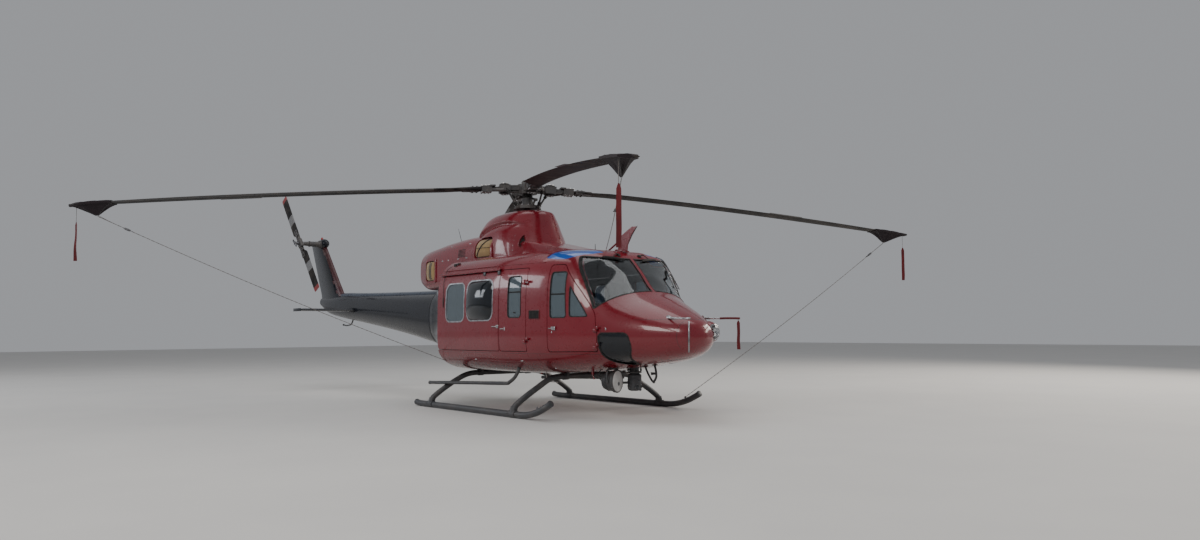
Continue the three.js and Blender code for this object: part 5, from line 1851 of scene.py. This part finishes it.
def make_turret():
    """A stabilised camera housing with its windows, grooves and shock mounts under a ring."""
    x, y = 2.790, -0.070
    body = turned((x, y, 0.372), (0, 0, 1), [
        (0.000, 0.062), (0.006, 0.080), (0.020, 0.094), (0.040, 0.1), (0.098, 0.100), (0.100, 0.095),
        (0.108, 0.095), (0.110, 0.100), (0.170, 0.100), (0.174, 0.096), (0.182, 0.096), (0.186, 0.100),
        (0.220, 0.100), (0.236, 0.086), (0.246, 0.066), (0.330, 0.062),
    ], 56)
    made("camera_body", body, trim_grey, "airframe", "dark_steel", "camera_turret")
    plate = [(-0.018, 0.080), (-0.014, 0.104), (0.004, 0.104), (0.010, 0.080)]
    mount = [turned((x, y, 0.640), (0, 0, 1), plate, 40)]
    damper = [(0, 0.010), (0.006, 0.016), (0.014, 0.011), (0.022, 0.016), (0.030, 0.010), (0.06, 0.009)]
    for k in range(4):
        a = math.radians(45 + 90 * k)
        spot = Vector((x + 0.092 * math.cos(a), y + 0.092 * math.sin(a), 0.650))
        mount.append(turned(spot, (0, 0, 1), damper, 16))
    hub = [(0, 0.036), (0.010, 0.036), (0.014, 0.030)]
    for sign in (-1, 1):
        mount.append(turned((x, y + sign * 0.096, 0.445), (0, sign, 0), hub, 28))
        mount.append(bolt((x, y + sign * 0.109, 0.445), (0, sign, 0), 0.010, 0.006))
    cable = [(x - 0.07, y + 0.03, 0.60), (x - 0.13, y + 0.04, 0.63), (x - 0.16, y + 0.03, 0.70)]
    mount.append(swept(smooth_path(cable, 5), 0.009, 12))
    made("camera_mount", join(*mount), gear_grey)
    rims, panes = [], []
    # place across, height and radius of each window
    windows = ((-0.030, 0.425, 0.034), (0.036, 0.430, 0.022), (0.030, 0.390, 0.013), (0.0, 0.520, 0.018))
    for side_y, z, radius in windows:
        spot = Vector((x + math.sqrt(0.1**2 - side_y**2) - 0.010, y + side_y, z))
        rim = [(-0.01, radius + 0.005), (0.010, radius + 0.005), (0.013, radius)]
        rims.append(turned(spot, (1, 0, 0), rim, 28))
        pane = [(0.003, radius), (0.0135, radius * 0.98), (0.015, radius * 0.4)]
        panes.append(turned(spot, (1, 0, 0), pane, 28))
    made("camera_trims", join(*rims), steel)
    made("camera_lenses", join(*panes), bubble_glass, "airframe", "dark_bubble")


def make_lower_cutter():
    """The wire cutter under the nose: a deflector strut, a brace and a sharp jaw between them."""
    foot = under_body(3.135, 0, -0.01)
    strut = smooth_path([foot, (3.165, 0, 0.660), (3.170, 0, 0.575), (3.120, 0, 0.505)], 6)
    root = under_body(2.935, 0, -0.01)
    brace = smooth_path([root, (3.000, 0, 0.620), (3.075, 0, 0.530), (3.118, 0, 0.503)], 6)
    parts = [swept(strut, 0.013, 14, 1.4), swept(brace, 0.012, 14, 1.3)]
    parts.append(prism([(3.060, 0.640), (3.158, 0.640), (3.164, 0.610), (3.070, 0.600)], 0, -0.006, 0.006))
    hinge = [(0, 0.014), (0.004, 0.018), (0.028, 0.018), (0.032, 0.014)]
    parts.append(turned((3.119, -0.016, 0.504), (0, 1, 0), hinge, 20))
    for x in (3.135, 2.935):
        spot = under_body(x, 0, 0.002)
        parts.append(block((0.090, 0.060, 0.010), spot, 0.004, 2, Matrix.Rotation(0.05, 4, "Y")))
        for sign in (-1, 1):
            parts.append(bolt(spot + Vector((sign * 0.030, 0, -0.005)), (0, 0, -1), 0.007))
    made("lower_cutter_frame", join(*parts), gear_grey, "airframe", "dark_steel", "lower_wire_cutter")


def make_upper_cutter():
    """A jaw blade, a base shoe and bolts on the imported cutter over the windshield."""
    jaw = [(2.575, 2.475), (2.625, 2.545), (2.760, 2.700), (2.800, 2.745), (2.665, 2.600)]
    made("upper_cutter_edge", prism(jaw, 0, -0.005, 0.005), gear_grey)
    shoe = [block((0.28, 0.055, 0.018), (2.455, 0, 2.402), 0.006, 2, Matrix.Rotation(0.15, 4, "Y"))]
    for x in (2.36, 2.46, 2.55):
        for sign in (-1, 1):
            shoe.append(bolt((x, sign * 0.020, 2.428 - 0.15 * (x - 2.36)), (0.15, 0, 1), 0.006))
    shoe.append(turned((2.090, 0, 2.430), (0, 0, 1), [(-0.01, 0.030), (0.006, 0.030), (0.012, 0.018)], 20))
    for x, z in ((2.44, 2.56), (2.47, 2.48), (2.52, 2.56)):
        for sign in (-1, 1):
            shoe.append(bolt((x, sign * 0.012, z), (0, sign, 0), 0.007, 0.005))
    made("upper_cutter_shoe", join(*shoe), door_red, "airframe", "red_paint")


def make_lamp():
    """The landing lamp set flush in the tip of the nose, and the joint of the nose cap."""
    x, y, z = 4.030, 0.250, 1.200
    ahead = (1, 0, 0)
    cup = [(-0.075, 0.150), (-0.050, 0.146), (-0.020, 0.136), (0.010, 0.124), (0.020, 0.117), (0.022, 0.108),
           (0.012, 0.104)]
    made("landing_lamp_shell", turned((x, y, z), ahead, cup, 48), door_red, "airframe", "red_paint")
    ring = [(0.012, 0.105), (0.018, 0.112), (0.024, 0.112), (0.028, 0.104), (0.024, 0.098)]
    made("landing_lamp_ring", turned((x, y, z), ahead, ring, 48), bright_steel)
    dish = turned((x - 0.04, y, z), ahead, [(0, 0.02), (0.010, 0.050), (0.030, 0.082), (0.052, 0.100)], 48)
    made("landing_lamp_dish", dish, bright_steel)
    glass = [(0.018, 0.102), (0.030, 0.098), (0.042, 0.080), (0.047, 0.045), (0.048, 0.01)]
    made("landing_lamp_glass", turned((x, y, z), ahead, glass, 48), lamp_glass, "airframe", "window_glass")
    bead = smooth_path([
        (4.000, -0.170, 1.341), (4.043, -0.216, 1.273), (4.063, -0.235, 1.207), (4.066, -0.238, 1.140),
        (4.056, -0.231, 1.076), (4.030, -0.206, 1.009), (3.986, -0.165, 0.940),
    ], 4)
    made("nose_cap_bead", swept(bead, 0.010, 10), silver)


def make_pitots():
    """A pitot tube on each side of the nose, with a cover and its streamer on the port one."""
    y, z = 0.345, 1.390
    flange = [(-0.006, 0.036), (0.004, 0.034), (0.010, 0.024)]
    parts = []
    for sign, tip in ((-1, 4.150), (1, 4.300)):
        root = smooth_path([
            (3.760, sign * (y - 0.012), z + 0.006), (3.850, sign * y, z), (3.960, sign * y, z - 0.004),
        ], 4)
        parts.append(swept(root, [0.022] * 3 + [0.016] * 3 + [0.012] * 3, 16))
        parts.append(swept([(3.950, sign * y, z - 0.004), (tip, sign * y, z - 0.008)], 0.010, 14))
        parts.append(turned((3.775, sign * (y - 0.014), z + 0.004), (0.3, sign, 0.1), flange, 20))
    cap = [(0, 0.010), (0.004, 0.015), (0.05, 0.014), (0.056, 0.007)]
    parts.append(turned((4.140, -y, z - 0.008), (1, 0, 0), cap, 16))
    made("pitot_tubes", join(*parts), bright_steel)
    line = [(4.080, y, z - 0.006), (4.200, y, z - 0.005), (4.360, y, z - 0.008), (4.425, y, z - 0.011)]
    sleeve = swept(smooth_path(line, 4), 0.015, 14)
    made("pitot_cover", sleeve, streamer_cloth, "airframe", "dark_cloth")
    make_streamer("pitot_streamer", Vector((4.405 + mast_x, y, z - 0.018)), 0.38, 0.045, "airframe", 0.025)


def make_wipers():
    """A wiper parked along the top of each windshield pane, with its arm and motor boss."""
    def place(y, proud):
        return top_of_body(2.700 - 0.24 * (y - 0.20), -y, proud)

    blade = [place(0.17 + 0.34 * k / 8, 0.020) for k in range(9)]
    parts = [swept(blade, 0.011, 10, 1.6)]
    parts.append(swept([point + Vector((-0.012, 0, 0.016)) for point in blade[1:-1]], 0.007, 10))
    for k in (2, 4, 6):
        parts.append(block((0.020, 0.020, 0.022), blade[k] + Vector((-0.006, 0, 0.008)), 0.003, 1))
    root = top_of_body(2.600, -0.20, 0.004)
    arm = smooth_path([root, root + Vector((0.03, -0.06, 0.014)), blade[4] + Vector((-0.014, 0, 0.020))], 5)
    parts.append(swept(arm, [0.012] * 6 + [0.008] * 5, 12, 0.7))
    boss = [(0, 0.034), (0.022, 0.034), (0.034, 0.024), (0.040, 0.012)]
    parts.append(turned(root - Vector((0, 0, 0.02)), (0.4, 0, 0.9), boss, 20))
    made_pair("wiper", join(*parts), seal_black)


def make_pane_rail():
    """The thin bowed rail on stand-offs outside the port pane."""
    outer = []
    for x, z in ((2.34, 2.355), (2.47, 2.29), (2.63, 2.14), (2.70, 1.98), (2.74, 1.84)):
        outer.append((x, max(abs(side_of_body(x, z).y) + 0.045, 0.70), z))
    line = smooth_path(outer, 6)
    parts = [swept(line, 0.008, 12)]
    for k in (1, 8, 15, len(line) - 2):
        inner = line[k] + Vector((-0.01, -0.060, -0.01))
        parts.append(swept([line[k], inner], 0.006, 10))
        parts.append(turned(inner, (0, -1, 0), [(-0.004, 0.014), (0.004, 0.014), (0.006, 0.008)], 14))
    made("pane_rail", join(*parts), steel)


def side_patch(x_low, x_high, z_low, z_high, proud):
    """A thin plate that follows the cabin's side."""
    bm = grid(8, 6, lambda u, v: side_of_body(x_low + (x_high - x_low) * (u + 1) / 2,
                                              z_low + (z_high - z_low) * (v + 1) / 2, proud))
    rim = [edge for edge in bm.edges if edge.is_boundary]
    for vert in only(bmesh.types.BMVert, bmesh.ops.extrude_edge_only(bm, edges=rim)["geom"]):
        vert.co.y += 0.004
    rim = [edge for edge in bm.edges if edge.is_boundary]
    bmesh.ops.edgeloop_fill(bm, edges=rim)
    return faced(bm)


def make_handles():
    """A handle with its plate and lock on each door."""
    # door, station, height, length of the grip
    for name, x, z, length in (
        ("crew_door", 2.255, 1.265, 0.11),
        ("panel_door", 1.215, 1.265, 0.09),
        ("sliding_door", 1.030, 1.300, 0.13),
    ):
        place = side_of_body(x, z, 0.002)
        half = length / 2
        plate = block((length + 0.05, 0.006, 0.050), place, 0.002, 1)
        grip = smooth_path([place + Vector((-half, 0, 0)), place + Vector((-half + 0.012, -0.024, 0)),
                            place + Vector((half - 0.02, -0.026, 0)), place + Vector((half, -0.004, 0))], 5)
        key = [(0, 0.012), (0.004, 0.012), (0.006, 0.008)]
        lock = turned(place + Vector((0, 0.002, -0.055)), (0, -1, 0), key, 16)
        whole = join(plate, swept(grip, 0.007, 12, 0.8), lock)
        made_pair(name + "_handle", whole, bright_steel, name + "_right_body")


def make_side_fittings():
    """The vent behind the crew door with its slats and frame, and the studs and catches of each side."""
    # Black plate over the vent: painted shade for the recess behind its slats
    dark = [side_patch(1.820, 2.025, 1.405, 1.523, 0.006)]
    for k in range(5):
        z = 1.420 + 0.022 * k
        dark.append(swept([side_of_body(1.828 + 0.038 * j, z, 0.008) for j in range(6)], 0.004, 8, 0.6))
    corners = ((1.815, 1.400), (2.030, 1.400), (2.030, 1.528), (1.815, 1.528), (1.815, 1.400))
    frame_line = rounded_loop([side_of_body(x, z, 0.006) for x, z in corners], 0.012)
    made_pair("side_vent_frame", swept(frame_line, 0.005, 8, caps=False), door_red, "airframe", "red_paint")
    stud = [(0, 0.016), (0.007, 0.016), (0.009, 0.010)]
    metal = []
    for x, z in ((3.10, 1.25), (2.05, 0.70), (0.60, 0.66), (-0.55, 0.68)):
        metal.append(turned(side_of_body(x, z) + Vector((0, 0.004, 0)), (0, -1, 0), stud, 18))
    for x in (1.55, 0.35):
        metal.append(block((0.060, 0.005, 0.022), side_of_body(x, 0.80, 0.001), 0.002, 1))
    # The vent's plate is black as painted shade for its recess
    made_pair("side_vent", join(*dark), seal_black)
    made_pair("side_studs", join(*metal), bright_steel)


def make_door_hardware():
    """The rail over each sliding door and the hangers that run in it."""
    rail = [block((1.845, 0.063, 0.020), (0.1975, -1.2365, 2.162), 0.004, 2),
            block((1.845, 0.010, 0.030), (0.1975, -1.272, 2.154), 0.003, 1)]
    for k in range(16):
        rail.append(bolt((-0.68 + 0.117 * k, -1.277, 2.155), (0, -1, 0), 0.005, 0.002))
    made_pair("door_rail", join(*rail), door_red, "airframe", "red_paint")
    hangers = []
    for x in (1.075, 0.670):
        hangers.append(block((0.060, 0.043, 0.048), (x, -1.2465, 2.104), 0.006))
        hangers.append(block((0.050, 0.020, 0.040), (x, -1.256, 2.131), 0.004))
        for ahead in (-0.015, 0.015):
            hangers.append(bolt((x + ahead, -1.268, 2.104), (0, -1, 0), 0.007))
    made_pair("door_hanger", join(*hangers), steel, "sliding_door_right_body")


def make_hinges():
    """Hinge lugs: one leaf on the door and one on the post, round the same pin."""
    knuckle = [(0, 0.011), (0.002, 0.013), (0.034, 0.013), (0.036, 0.011)]
    # door, station and place across of the pin, heights, ends of the two leaves
    for name, x, y, heights, door_end, frame_end in (
        ("crew_door", 2.990, -0.940, (0.985, 1.215), 2.920, 3.030),
        ("panel_door", 1.760, -1.260, (1.060, 1.900), 1.690, 1.831),
    ):
        leaf, post = [], []
        for height in heights:
            for parts, base, end in ((leaf, height, door_end), (post, height + 0.0363, frame_end)):
                parts.append(turned((x, y, base), (0, 0, 1), knuckle, 20))
                middle = ((x + end) / 2, y + 0.005, base + 0.018)
                parts.append(block((abs(end - x), 0.020, 0.034), middle, 0.004))
                for share in (0.45, 0.8):
                    spot = (x + (end - x) * share, y - 0.005, base + 0.018)
                    parts.append(bolt(spot, (0, -1, 0), 0.005, 0.004))
        made_pair(name + "_hinge_leaf", join(*leaf), door_red, name + "_right_body", "red_paint")
        made_pair(name + "_hinge_post", join(*post), door_red, "airframe", "red_paint")


def make_window_bars():
    """A bar with a pull across the crew and the panel window."""
    # window, height, length, place of the pull above the bar
    for name, height, length, pull_height in (
        ("crew_window", 1.745, 0.262, 0.30), ("panel_window", 1.800, 0.282, -0.30),
    ):
        outline, _, door, _ = window_cuts[name]
        low = min(x for x, _ in outline) + 0.004
        high = low + length
        points = [side_of_body(low + (high - low) * k / 6, height, -0.010) for k in range(7)]
        pull = block((0.050, 0.012, 0.018), points[3] + Vector((0, -0.012, pull_height)), 0.004)
        made_pair(name + "_bar", join(swept(points, 0.012, 12, 0.9), pull), seal_black, carrier(door))


def make_belly_fittings():
    """Small parts under the belly: aerials, a bracket, the lamp, the dome and drains."""
    down = (0, 0, -1)
    outline = [(-2.02, 0.800), (-1.90, 0.790), (-1.975, 0.560), (-2.055, 0.575)]
    made("belly_blade_aerial", prism(outline, 0.012, -0.008, 0.008), white_paint, "airframe", "white_paint")
    y = -0.42
    hook = smooth_path([(1.10, y, 0.60), (1.14, y, 0.50), (1.19, y, 0.455), (1.42, y, 0.450)], 6)
    foot = turned((1.10, y, 0.61), down, [(0, 0.030), (0.012, 0.030), (0.020, 0.014)], 20)
    made("belly_bent_aerial", join(swept(hook, 0.007, 12), foot), white_paint, "airframe", "white_paint")
    arm = block((0.040, 0.030, 0.12), (2.500, -0.60, 0.665), 0.008)
    tip = swept([(2.50, -0.60, 0.60), (2.53, -0.60, 0.545)], 0.010, 12)
    made("belly_bracket", join(arm, tip), door_red, "airframe", "red_paint")
    bulb = [(0, 0.050), (0.010, 0.050), (0.014, 0.042), (0.040, 0.036), (0.058, 0.018)]
    made("belly_lamp", turned((0.40, 0, 0.585), down, bulb, 28), lamp_red, "airframe", "dark_bubble")
    hump = turned((0.95, 0, 0.590), down, [(0, 0.085), (0.008, 0.085), (0.030, 0.060), (0.036, 0.02)], 32)
    made("belly_dome", hump, trim_grey)
    drains = []
    for x, y in ((1.5, 0.3), (1.5, -0.3), (-0.2, 0.35), (-0.2, -0.35), (-0.6, 0.0)):
        low = under_body(x, y, -0.004)
        drains.append(swept([low, low - Vector((0.006, 0, 0.028))], 0.008, 12))
    made("belly_drains", join(*drains), steel)


def make_roof_bracket():
    """The bracket on the roof's rear edge, with its cord and tag."""
    parts = [block((0.075, 0.030, 0.050), side_of_body(-0.47, 2.315, 0.010), 0.008),
             block((0.040, 0.050, 0.030), side_of_body(-0.40, 2.335, 0.012), 0.006)]
    line = smooth_path([side_of_body(-0.50, 2.300, 0.030), side_of_body(-0.560, 2.235, 0.030),
                        side_of_body(-0.550, 2.06, 0.012), side_of_body(-0.530, 1.90, 0.008),
                        side_of_body(-0.515, 1.780, 0.008)], 6)
    parts.append(swept(line, 0.0035, 8))
    steps = ((0, -0.002, 0), (-0.004, -0.004, -0.08), (-0.002, -0.002, -0.16))
    parts.append(ribbon([line[-1] + Vector(step) for step in steps], 0.024, 0.002))
    made("roof_edge_bracket", join(*parts), seal_black)


def make_body_bands():
    """The roof gutters, and the rivets along the sill, under the roof and down the cabin's rear frame."""
    gutter = [side_of_body(-0.70 + 2.72 * k / 24, 2.225 - 0.012 * (k / 24), 0.003) for k in range(25)]
    made_pair("roof_gutter", swept(gutter, 0.010, 10, 0.8), door_red, "airframe", "red_paint")
    rivet = [(0, 0.0045), (0.0012, 0.004), (0.0018, 0.002)]
    rivets = []
    for z, count in ((0.885, 56), (2.262, 46)):
        for x in [-0.66 + k * (3.5 / 56) for k in range(count)]:
            if x <= 2.75:
                rivets.append(turned(side_of_body(x, z, -0.0005), (0, -1, 0.1), rivet, 8))
    for z in [0.80 + 1.22 * k / 25 for k in range(26)]:
        rivets.append(turned(side_of_body(-0.665, z, -0.0005), (0, -1, 0), rivet, 8))
    made_pair("side_rivets", join(*rivets), door_red, "airframe", "red_paint")


def make_aerials():
    """The whip and the blade on the cowl, and the stub over the crew."""
    whip = swept([(-2.16, 0, 2.84), (-2.17, 0, 2.90), (-2.30, 0, 3.17)], [0.010, 0.005, 0.0025], 12)
    socket = [(0, 0.030), (0.012, 0.030), (0.03, 0.014), (0.05, 0.009)]
    base = turned((-2.155, 0, 2.815), (-0.3, 0, 1), socket, 20)
    stub = swept([(1.95, -0.10, 2.43), (1.95, -0.10, 2.54)], [0.006, 0.003], 10)
    foot = turned((1.95, -0.10, 2.425), (0, 0, 1), [(0, 0.022), (0.010, 0.022), (0.018, 0.010)], 18)
    made("whip_aerial", join(whip, base, stub, foot), seal_black)
    fin = prism([(-1.52, 2.870), (-1.30, 2.880), (-1.42, 3.035), (-1.50, 3.035)], 0.015, -0.009, 0.009)
    made("cowl_blade_aerial", fin, white_paint, "airframe", "white_paint")


# Inside the cabin

def cushion(name, size, place, lean, *nodes):
    """A seat cushion: a rounded block whose faces swell between its piped edges."""
    bm = bmesh.new()
    bmesh.ops.create_cube(bm, size=1)
    bmesh.ops.subdivide_edges(bm, edges=bm.edges[:], cuts=9, use_grid_fill=True)
    for vert in bm.verts:
        x, y, z = (2 * value for value in vert.co)
        reach = (abs(x) ** 8 + abs(y) ** 8 + abs(z) ** 8) ** 0.125
        swell = [1 + 0.16 * (1 - b * b) * (1 - c * c) for b, c in ((y, z), (x, z), (x, y))]
        vert.co = Vector([value / reach * size[i] / 2 * (swell[i] if abs(value) > 0.99 else 1)
                          for i, value in enumerate((x, y, z))])
    turn = Matrix.Translation(place) @ Matrix.Rotation(lean, 4, "Y")
    bmesh.ops.transform(bm, matrix=turn, verts=bm.verts)
    thing = made(name, bm, seat_cloth, "airframe", "seat_cloth", *nodes, angle=60)
    sx, sy, sz = (value / 2 * 0.985 for value in size)
    seams = []
    for z in (-sz, sz):
        corners = [(-sx, -sy, z), (sx, -sy, z), (sx, sy, z), (-sx, sy, z), (-sx, -sy, z)]
        seams.append(swept([turn @ point for point in rounded_loop(corners, 0.03)], 0.005, 8, caps=False))
    made(name + "_piping", join(*seams), strap_black, "airframe", "seat_cloth")


def rounded_loop(corners, radius):
    """A closed four-cornered path with its corners cut round."""
    points = []
    for before, corner, after in zip([corners[-2]] + corners[:-2], corners[:-1], corners[1:]):
        corner = Vector(corner)
        first = corner + (Vector(before) - corner).normalized() * radius
        last = corner + (Vector(after) - corner).normalized() * radius
        for k in range(5):
            t = k / 4
            points.append(first * (1 - t) ** 2 + corner * 2 * t * (1 - t) + last * t * t)
    return points + [points[0]]


def make_crew_seats():
    """The two crew seats with their frames, harnesses and buckles."""
    back_lean = -math.atan2(0.10, 0.74)
    for name, y in (("crew_seat_right", -0.56), ("crew_seat_left", 0.56)):
        cushion(name + "_pan", (0.50, 0.47, 0.11), (1.97, y, 1.235), -0.03, name)
        cushion(name + "_back", (0.105, 0.45, 0.68), (1.712, y, 1.640), back_lean)
        cushion(name + "_head", (0.09, 0.23, 0.17), (1.672, y, 2.060), back_lean)
        parts = []
        for rail in (y - 0.19, y + 0.19):
            for x in (1.80, 2.12):
                parts.append(swept([(x, rail, floor_top), (x, rail, 1.185)], 0.016, 14))
            parts.append(block((0.46, 0.030, 0.022), (1.96, rail, 0.912), 0.005))
            parts.append(swept([(1.705, rail, 1.22), (1.632, rail, 1.98)], 0.014, 12))
        parts.append(block((0.44, 0.42, 0.012), (1.96, y, 1.178), 0.004))
        parts.append(block((0.20, 0.24, 0.10), (1.96, y, 1.10), 0.02))
        for post in (y - 0.07, y + 0.07):
            parts.append(swept([(1.645, post, 1.96), (1.645, post, 2.02)], 0.009, 10))
        made(name + "_frame", join(*parts), gear_grey)
        made(name + "_harness", harness(y), strap_black, "airframe", "dark_cloth")
        buckle = turned((1.96, y, 1.322), (0, 0, 1), [(0, 0.030), (0.010, 0.030), (0.014, 0.022)], 24)
        made(name + "_buckle", buckle, bright_steel)


def harness(y):
    """Two shoulder straps and a lap strap over a crew seat."""
    straps = []
    for out in (-0.075, 0.075):
        path = smooth_path([(1.652, y + out, 1.955), (1.725, y + out, 1.930), (1.778, y + out * 1.2, 1.70),
                            (1.832, y + out * 1.4, 1.40), (1.88, y + out * 1.5, 1.305)], 4)
        straps.append(ribbon(path, 0.045, 0.003, Vector((0, 1, 0))))
    lap = smooth_path([(1.80, y - 0.235, 1.25), (1.88, y - 0.17, 1.312), (1.96, y, 1.322),
                       (1.88, y + 0.17, 1.312), (1.80, y + 0.235, 1.25)], 5)
    straps.append(ribbon(lap, 0.045, 0.003))
    return join(*straps)


def make_bench():
    """The four-seat bench at the cabin's rear wall, on its tube frame."""
    for k in range(4):
        y = -0.75 + 0.5 * k
        nodes = ["cabin_bench"] if k == 0 else []
        cushion(f"bench_seat_{k + 1}", (0.48, 0.475, 0.12), (-0.385, y, 1.255), 0, *nodes)
        cushion(f"bench_back_{k + 1}", (0.10, 0.475, 0.66), (-0.620, y, 1.650), -0.05)
    front, rear = -0.17, -0.60
    parts = []
    for y in (-0.96, -0.48, 0, 0.48, 0.96):
        for x in (rear, front):
            parts.append(swept([(x, y, floor_top), (x, y, 1.20)], 0.014, 12))
        parts.append(swept([(rear, y, 0.93), (front, y, 1.17)], 0.010, 10))
    for x in (front, rear):
        parts.append(swept([(x, -0.98, 1.190), (x, 0.98, 1.190)], 0.016, 12))
    made("bench_frame", join(*parts), gear_grey)


def make_panel():
    """The instrument board with its glare shield, the pedestal, and the displays and knobs on them."""
    board = [(2.605, 1.195), (2.695, 1.195), (2.755, 1.560), (2.620, 1.598), (2.560, 1.560)]
    pedestal = [(2.155, floor_top), (2.695, floor_top), (2.695, 1.235), (2.600, 1.235), (2.205, 1.118)]
    whole = join(prism(board, 0.012, -0.60, 0.60), prism(pedestal, 0.015, -0.145, 0.145))
    made("instrument_board", whole, trim_grey, "airframe", "cabin_trim", "instrument_panel")
    hood = [(2.530, 1.596), (2.560, 1.625), (2.760, 1.600), (2.760, 1.570), (2.600, 1.590)]
    shield = [prism(hood, 0.006, low, low + 0.60) for low in (0.02, -0.62)]
    made("glare_shield", join(*shield), lining, "airframe", "cabin_trim")
    face = Vector((-1, 0, -0.12)).normalized()
    slope = Matrix.Rotation(-0.12, 4, "Y")
    bezels, screens, knobs = [], [], []
    # place across, height, width and height of each display
    for y, z, width, height in (
        (-0.47, 1.42, 0.17, 0.21), (-0.27, 1.42, 0.17, 0.21), (-0.05, 1.43, 0.15, 0.17),
        (0.13, 1.43, 0.15, 0.17), (0.31, 1.42, 0.17, 0.21), (0.49, 1.42, 0.14, 0.21),
    ):
        x = 2.585 - 0.12 * (1.42 - z)
        bezels.append(block((0.020, width, height), (x, y, z), 0.005, 2, slope))
        screens.append(block((0.006, width - 0.035, height - 0.045), (x - 0.0095, y, z), 0.002, 1, slope))
        for j in range(5):
            spot = Vector((x - 0.010, y - width * 0.34 + j * width * 0.17, z - height / 2 + 0.010))
            knobs.append(turned(spot, face, [(0, 0.006), (0.008, 0.006), (0.010, 0.004)], 12))
    knob = [(0, 0.009), (0.012, 0.009), (0.015, 0.006)]
    for k in range(4):
        x = 2.26 + k * 0.09
        z = 1.118 + (x - 2.205) * (0.117 / 0.395) + 0.004
        for j in range(6):
            knobs.append(turned((x, -0.10 + 0.04 * j, z), (-0.3, 0, 1), knob, 12))
    made("display_bezels", join(*bezels), lining, "airframe", "cabin_trim")
    made("display_screens", join(*screens), bubble_glass, "airframe", "dark_bubble")
    made("panel_knobs", join(*knobs), seal_black, "airframe", "cabin_trim")


def make_controls():
    """The sticks and pedals at both crew seats, and the console in the roof."""
    grip = [(0, 0.014), (0.02, 0.020), (0.08, 0.018), (0.11, 0.022), (0.12, 0.012)]
    lever_grip = [(0, 0.018), (0.10, 0.019), (0.12, 0.026), (0.15, 0.024)]
    pedal_turn = Matrix.Rotation(0.4, 4, "Y")
    parts = []
    for y in (-0.56, 0.56):
        stick = smooth_path([(2.42, y, 0.90), (2.46, y, 1.10), (2.36, y, 1.32), (2.33, y, 1.44)], 5)
        parts.append(swept(stick, 0.012, 12))
        parts.append(turned((2.335, y, 1.42), (-0.12, 0, 1), grip, 18))
        side_y = y + 0.285
        lever = smooth_path([(1.84, side_y, 0.93), (2.05, side_y, 1.04), (2.25, side_y, 1.20)], 5)
        parts.append(swept(lever, 0.014, 12))
        parts.append(turned((2.20, side_y, 1.165), (0.78, 0, 0.62), lever_grip, 18))
        for foot in (y - 0.09, y + 0.09):
            parts.append(block((0.02, 0.09, 0.12), (2.70, foot, 1.00), 0.006, 2, pedal_turn))
            parts.append(swept([(2.70, foot, 0.90), (2.71, foot, 0.97)], 0.010, 10))
    made("crew_controls", join(*parts), seal_black, "airframe", "cabin_trim")
    knob = [(0, 0.007), (0.012, 0.007), (0.014, 0.005)]
    console = [block((0.46, 0.28, 0.05), (2.15, 0, 2.335), 0.015, 3, Matrix.Rotation(0.05, 4, "Y"))]
    for k in range(5):
        for j in range(6):
            console.append(turned((1.98 + 0.085 * k, -0.10 + 0.04 * j, 2.312), (0, 0, -1), knob, 10))
    made("roof_console", join(*console), trim_grey, "airframe", "cabin_trim")


def make_floor_fittings():
    """Tracks with tie-down rings in the cabin floor, and the rear wall's quilted lining."""
    parts = []
    for y in (-0.95, -0.32, 0.32, 0.95):
        parts.append(block((1.55, 0.045, 0.006), (0.70, y, 0.9035), 0.002, 1))
        for x in [0.02 + 0.17 * k for k in range(9)]:
            ring = [(x + 0.016 * math.cos(a), y, 0.9105 + 0.008 * math.sin(a)) for a in turns(12, 1)]
            parts.append(swept(ring, 0.0025, 6, caps=False))
    made("floor_tracks", join(*parts), bright_steel)

    def quilted(u, v):
        y, z = u * 1.10, 1.55 + v * 0.58
        puff = abs(math.sin(y * 14.2)) * abs(math.sin((z - 0.97) * 13.5))
        return Vector((-0.712 + 0.016 * puff**0.5, y, z))

    made("rear_wall_lining", faced(grid(40, 24, quilted)), seat_cloth, "airframe", "seat_cloth", angle=80)


def dress_packed_nodes():
    """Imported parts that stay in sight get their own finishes."""
    finishes = {
        "rotor_hub": hub_grey, "cabin_floor": floor_grey, "upper_wire_cutter": door_red,
        "engine_block": engine_dark, "main_gearbox": hub_grey,
    }
    for name, material in finishes.items():
        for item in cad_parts[name].material_slots:
            item.material = material


make_rear()
make_fairing()
make_cowl()
make_fin()
make_spine()
make_stabilisers()
make_tail_skid()
make_tail_rotor()
apexes = []
for blade_index in range(4):
    make_blade(blade_index)
    make_root(blade_index)
    make_sock(blade_index)
    apexes.append(make_flap(blade_index))
make_hub()
make_rigging(apexes)
make_cross_tube("cross_tube_front", front_cross, 0.598)
make_cross_tube("cross_tube_rear", rear_cross, 0.580)
make_skid()
make_step()
make_searchlight()
make_turret()
make_lower_cutter()
make_upper_cutter()
make_lamp()
make_pitots()
make_wipers()
make_pane_rail()
make_handles()
make_side_fittings()
make_door_hardware()
make_hinges()
make_window_bars()
make_belly_fittings()
make_roof_bracket()
make_body_bands()
make_aerials()
make_crew_seats()
make_bench()
make_panel()
make_controls()
make_floor_fittings()
dress_packed_nodes()
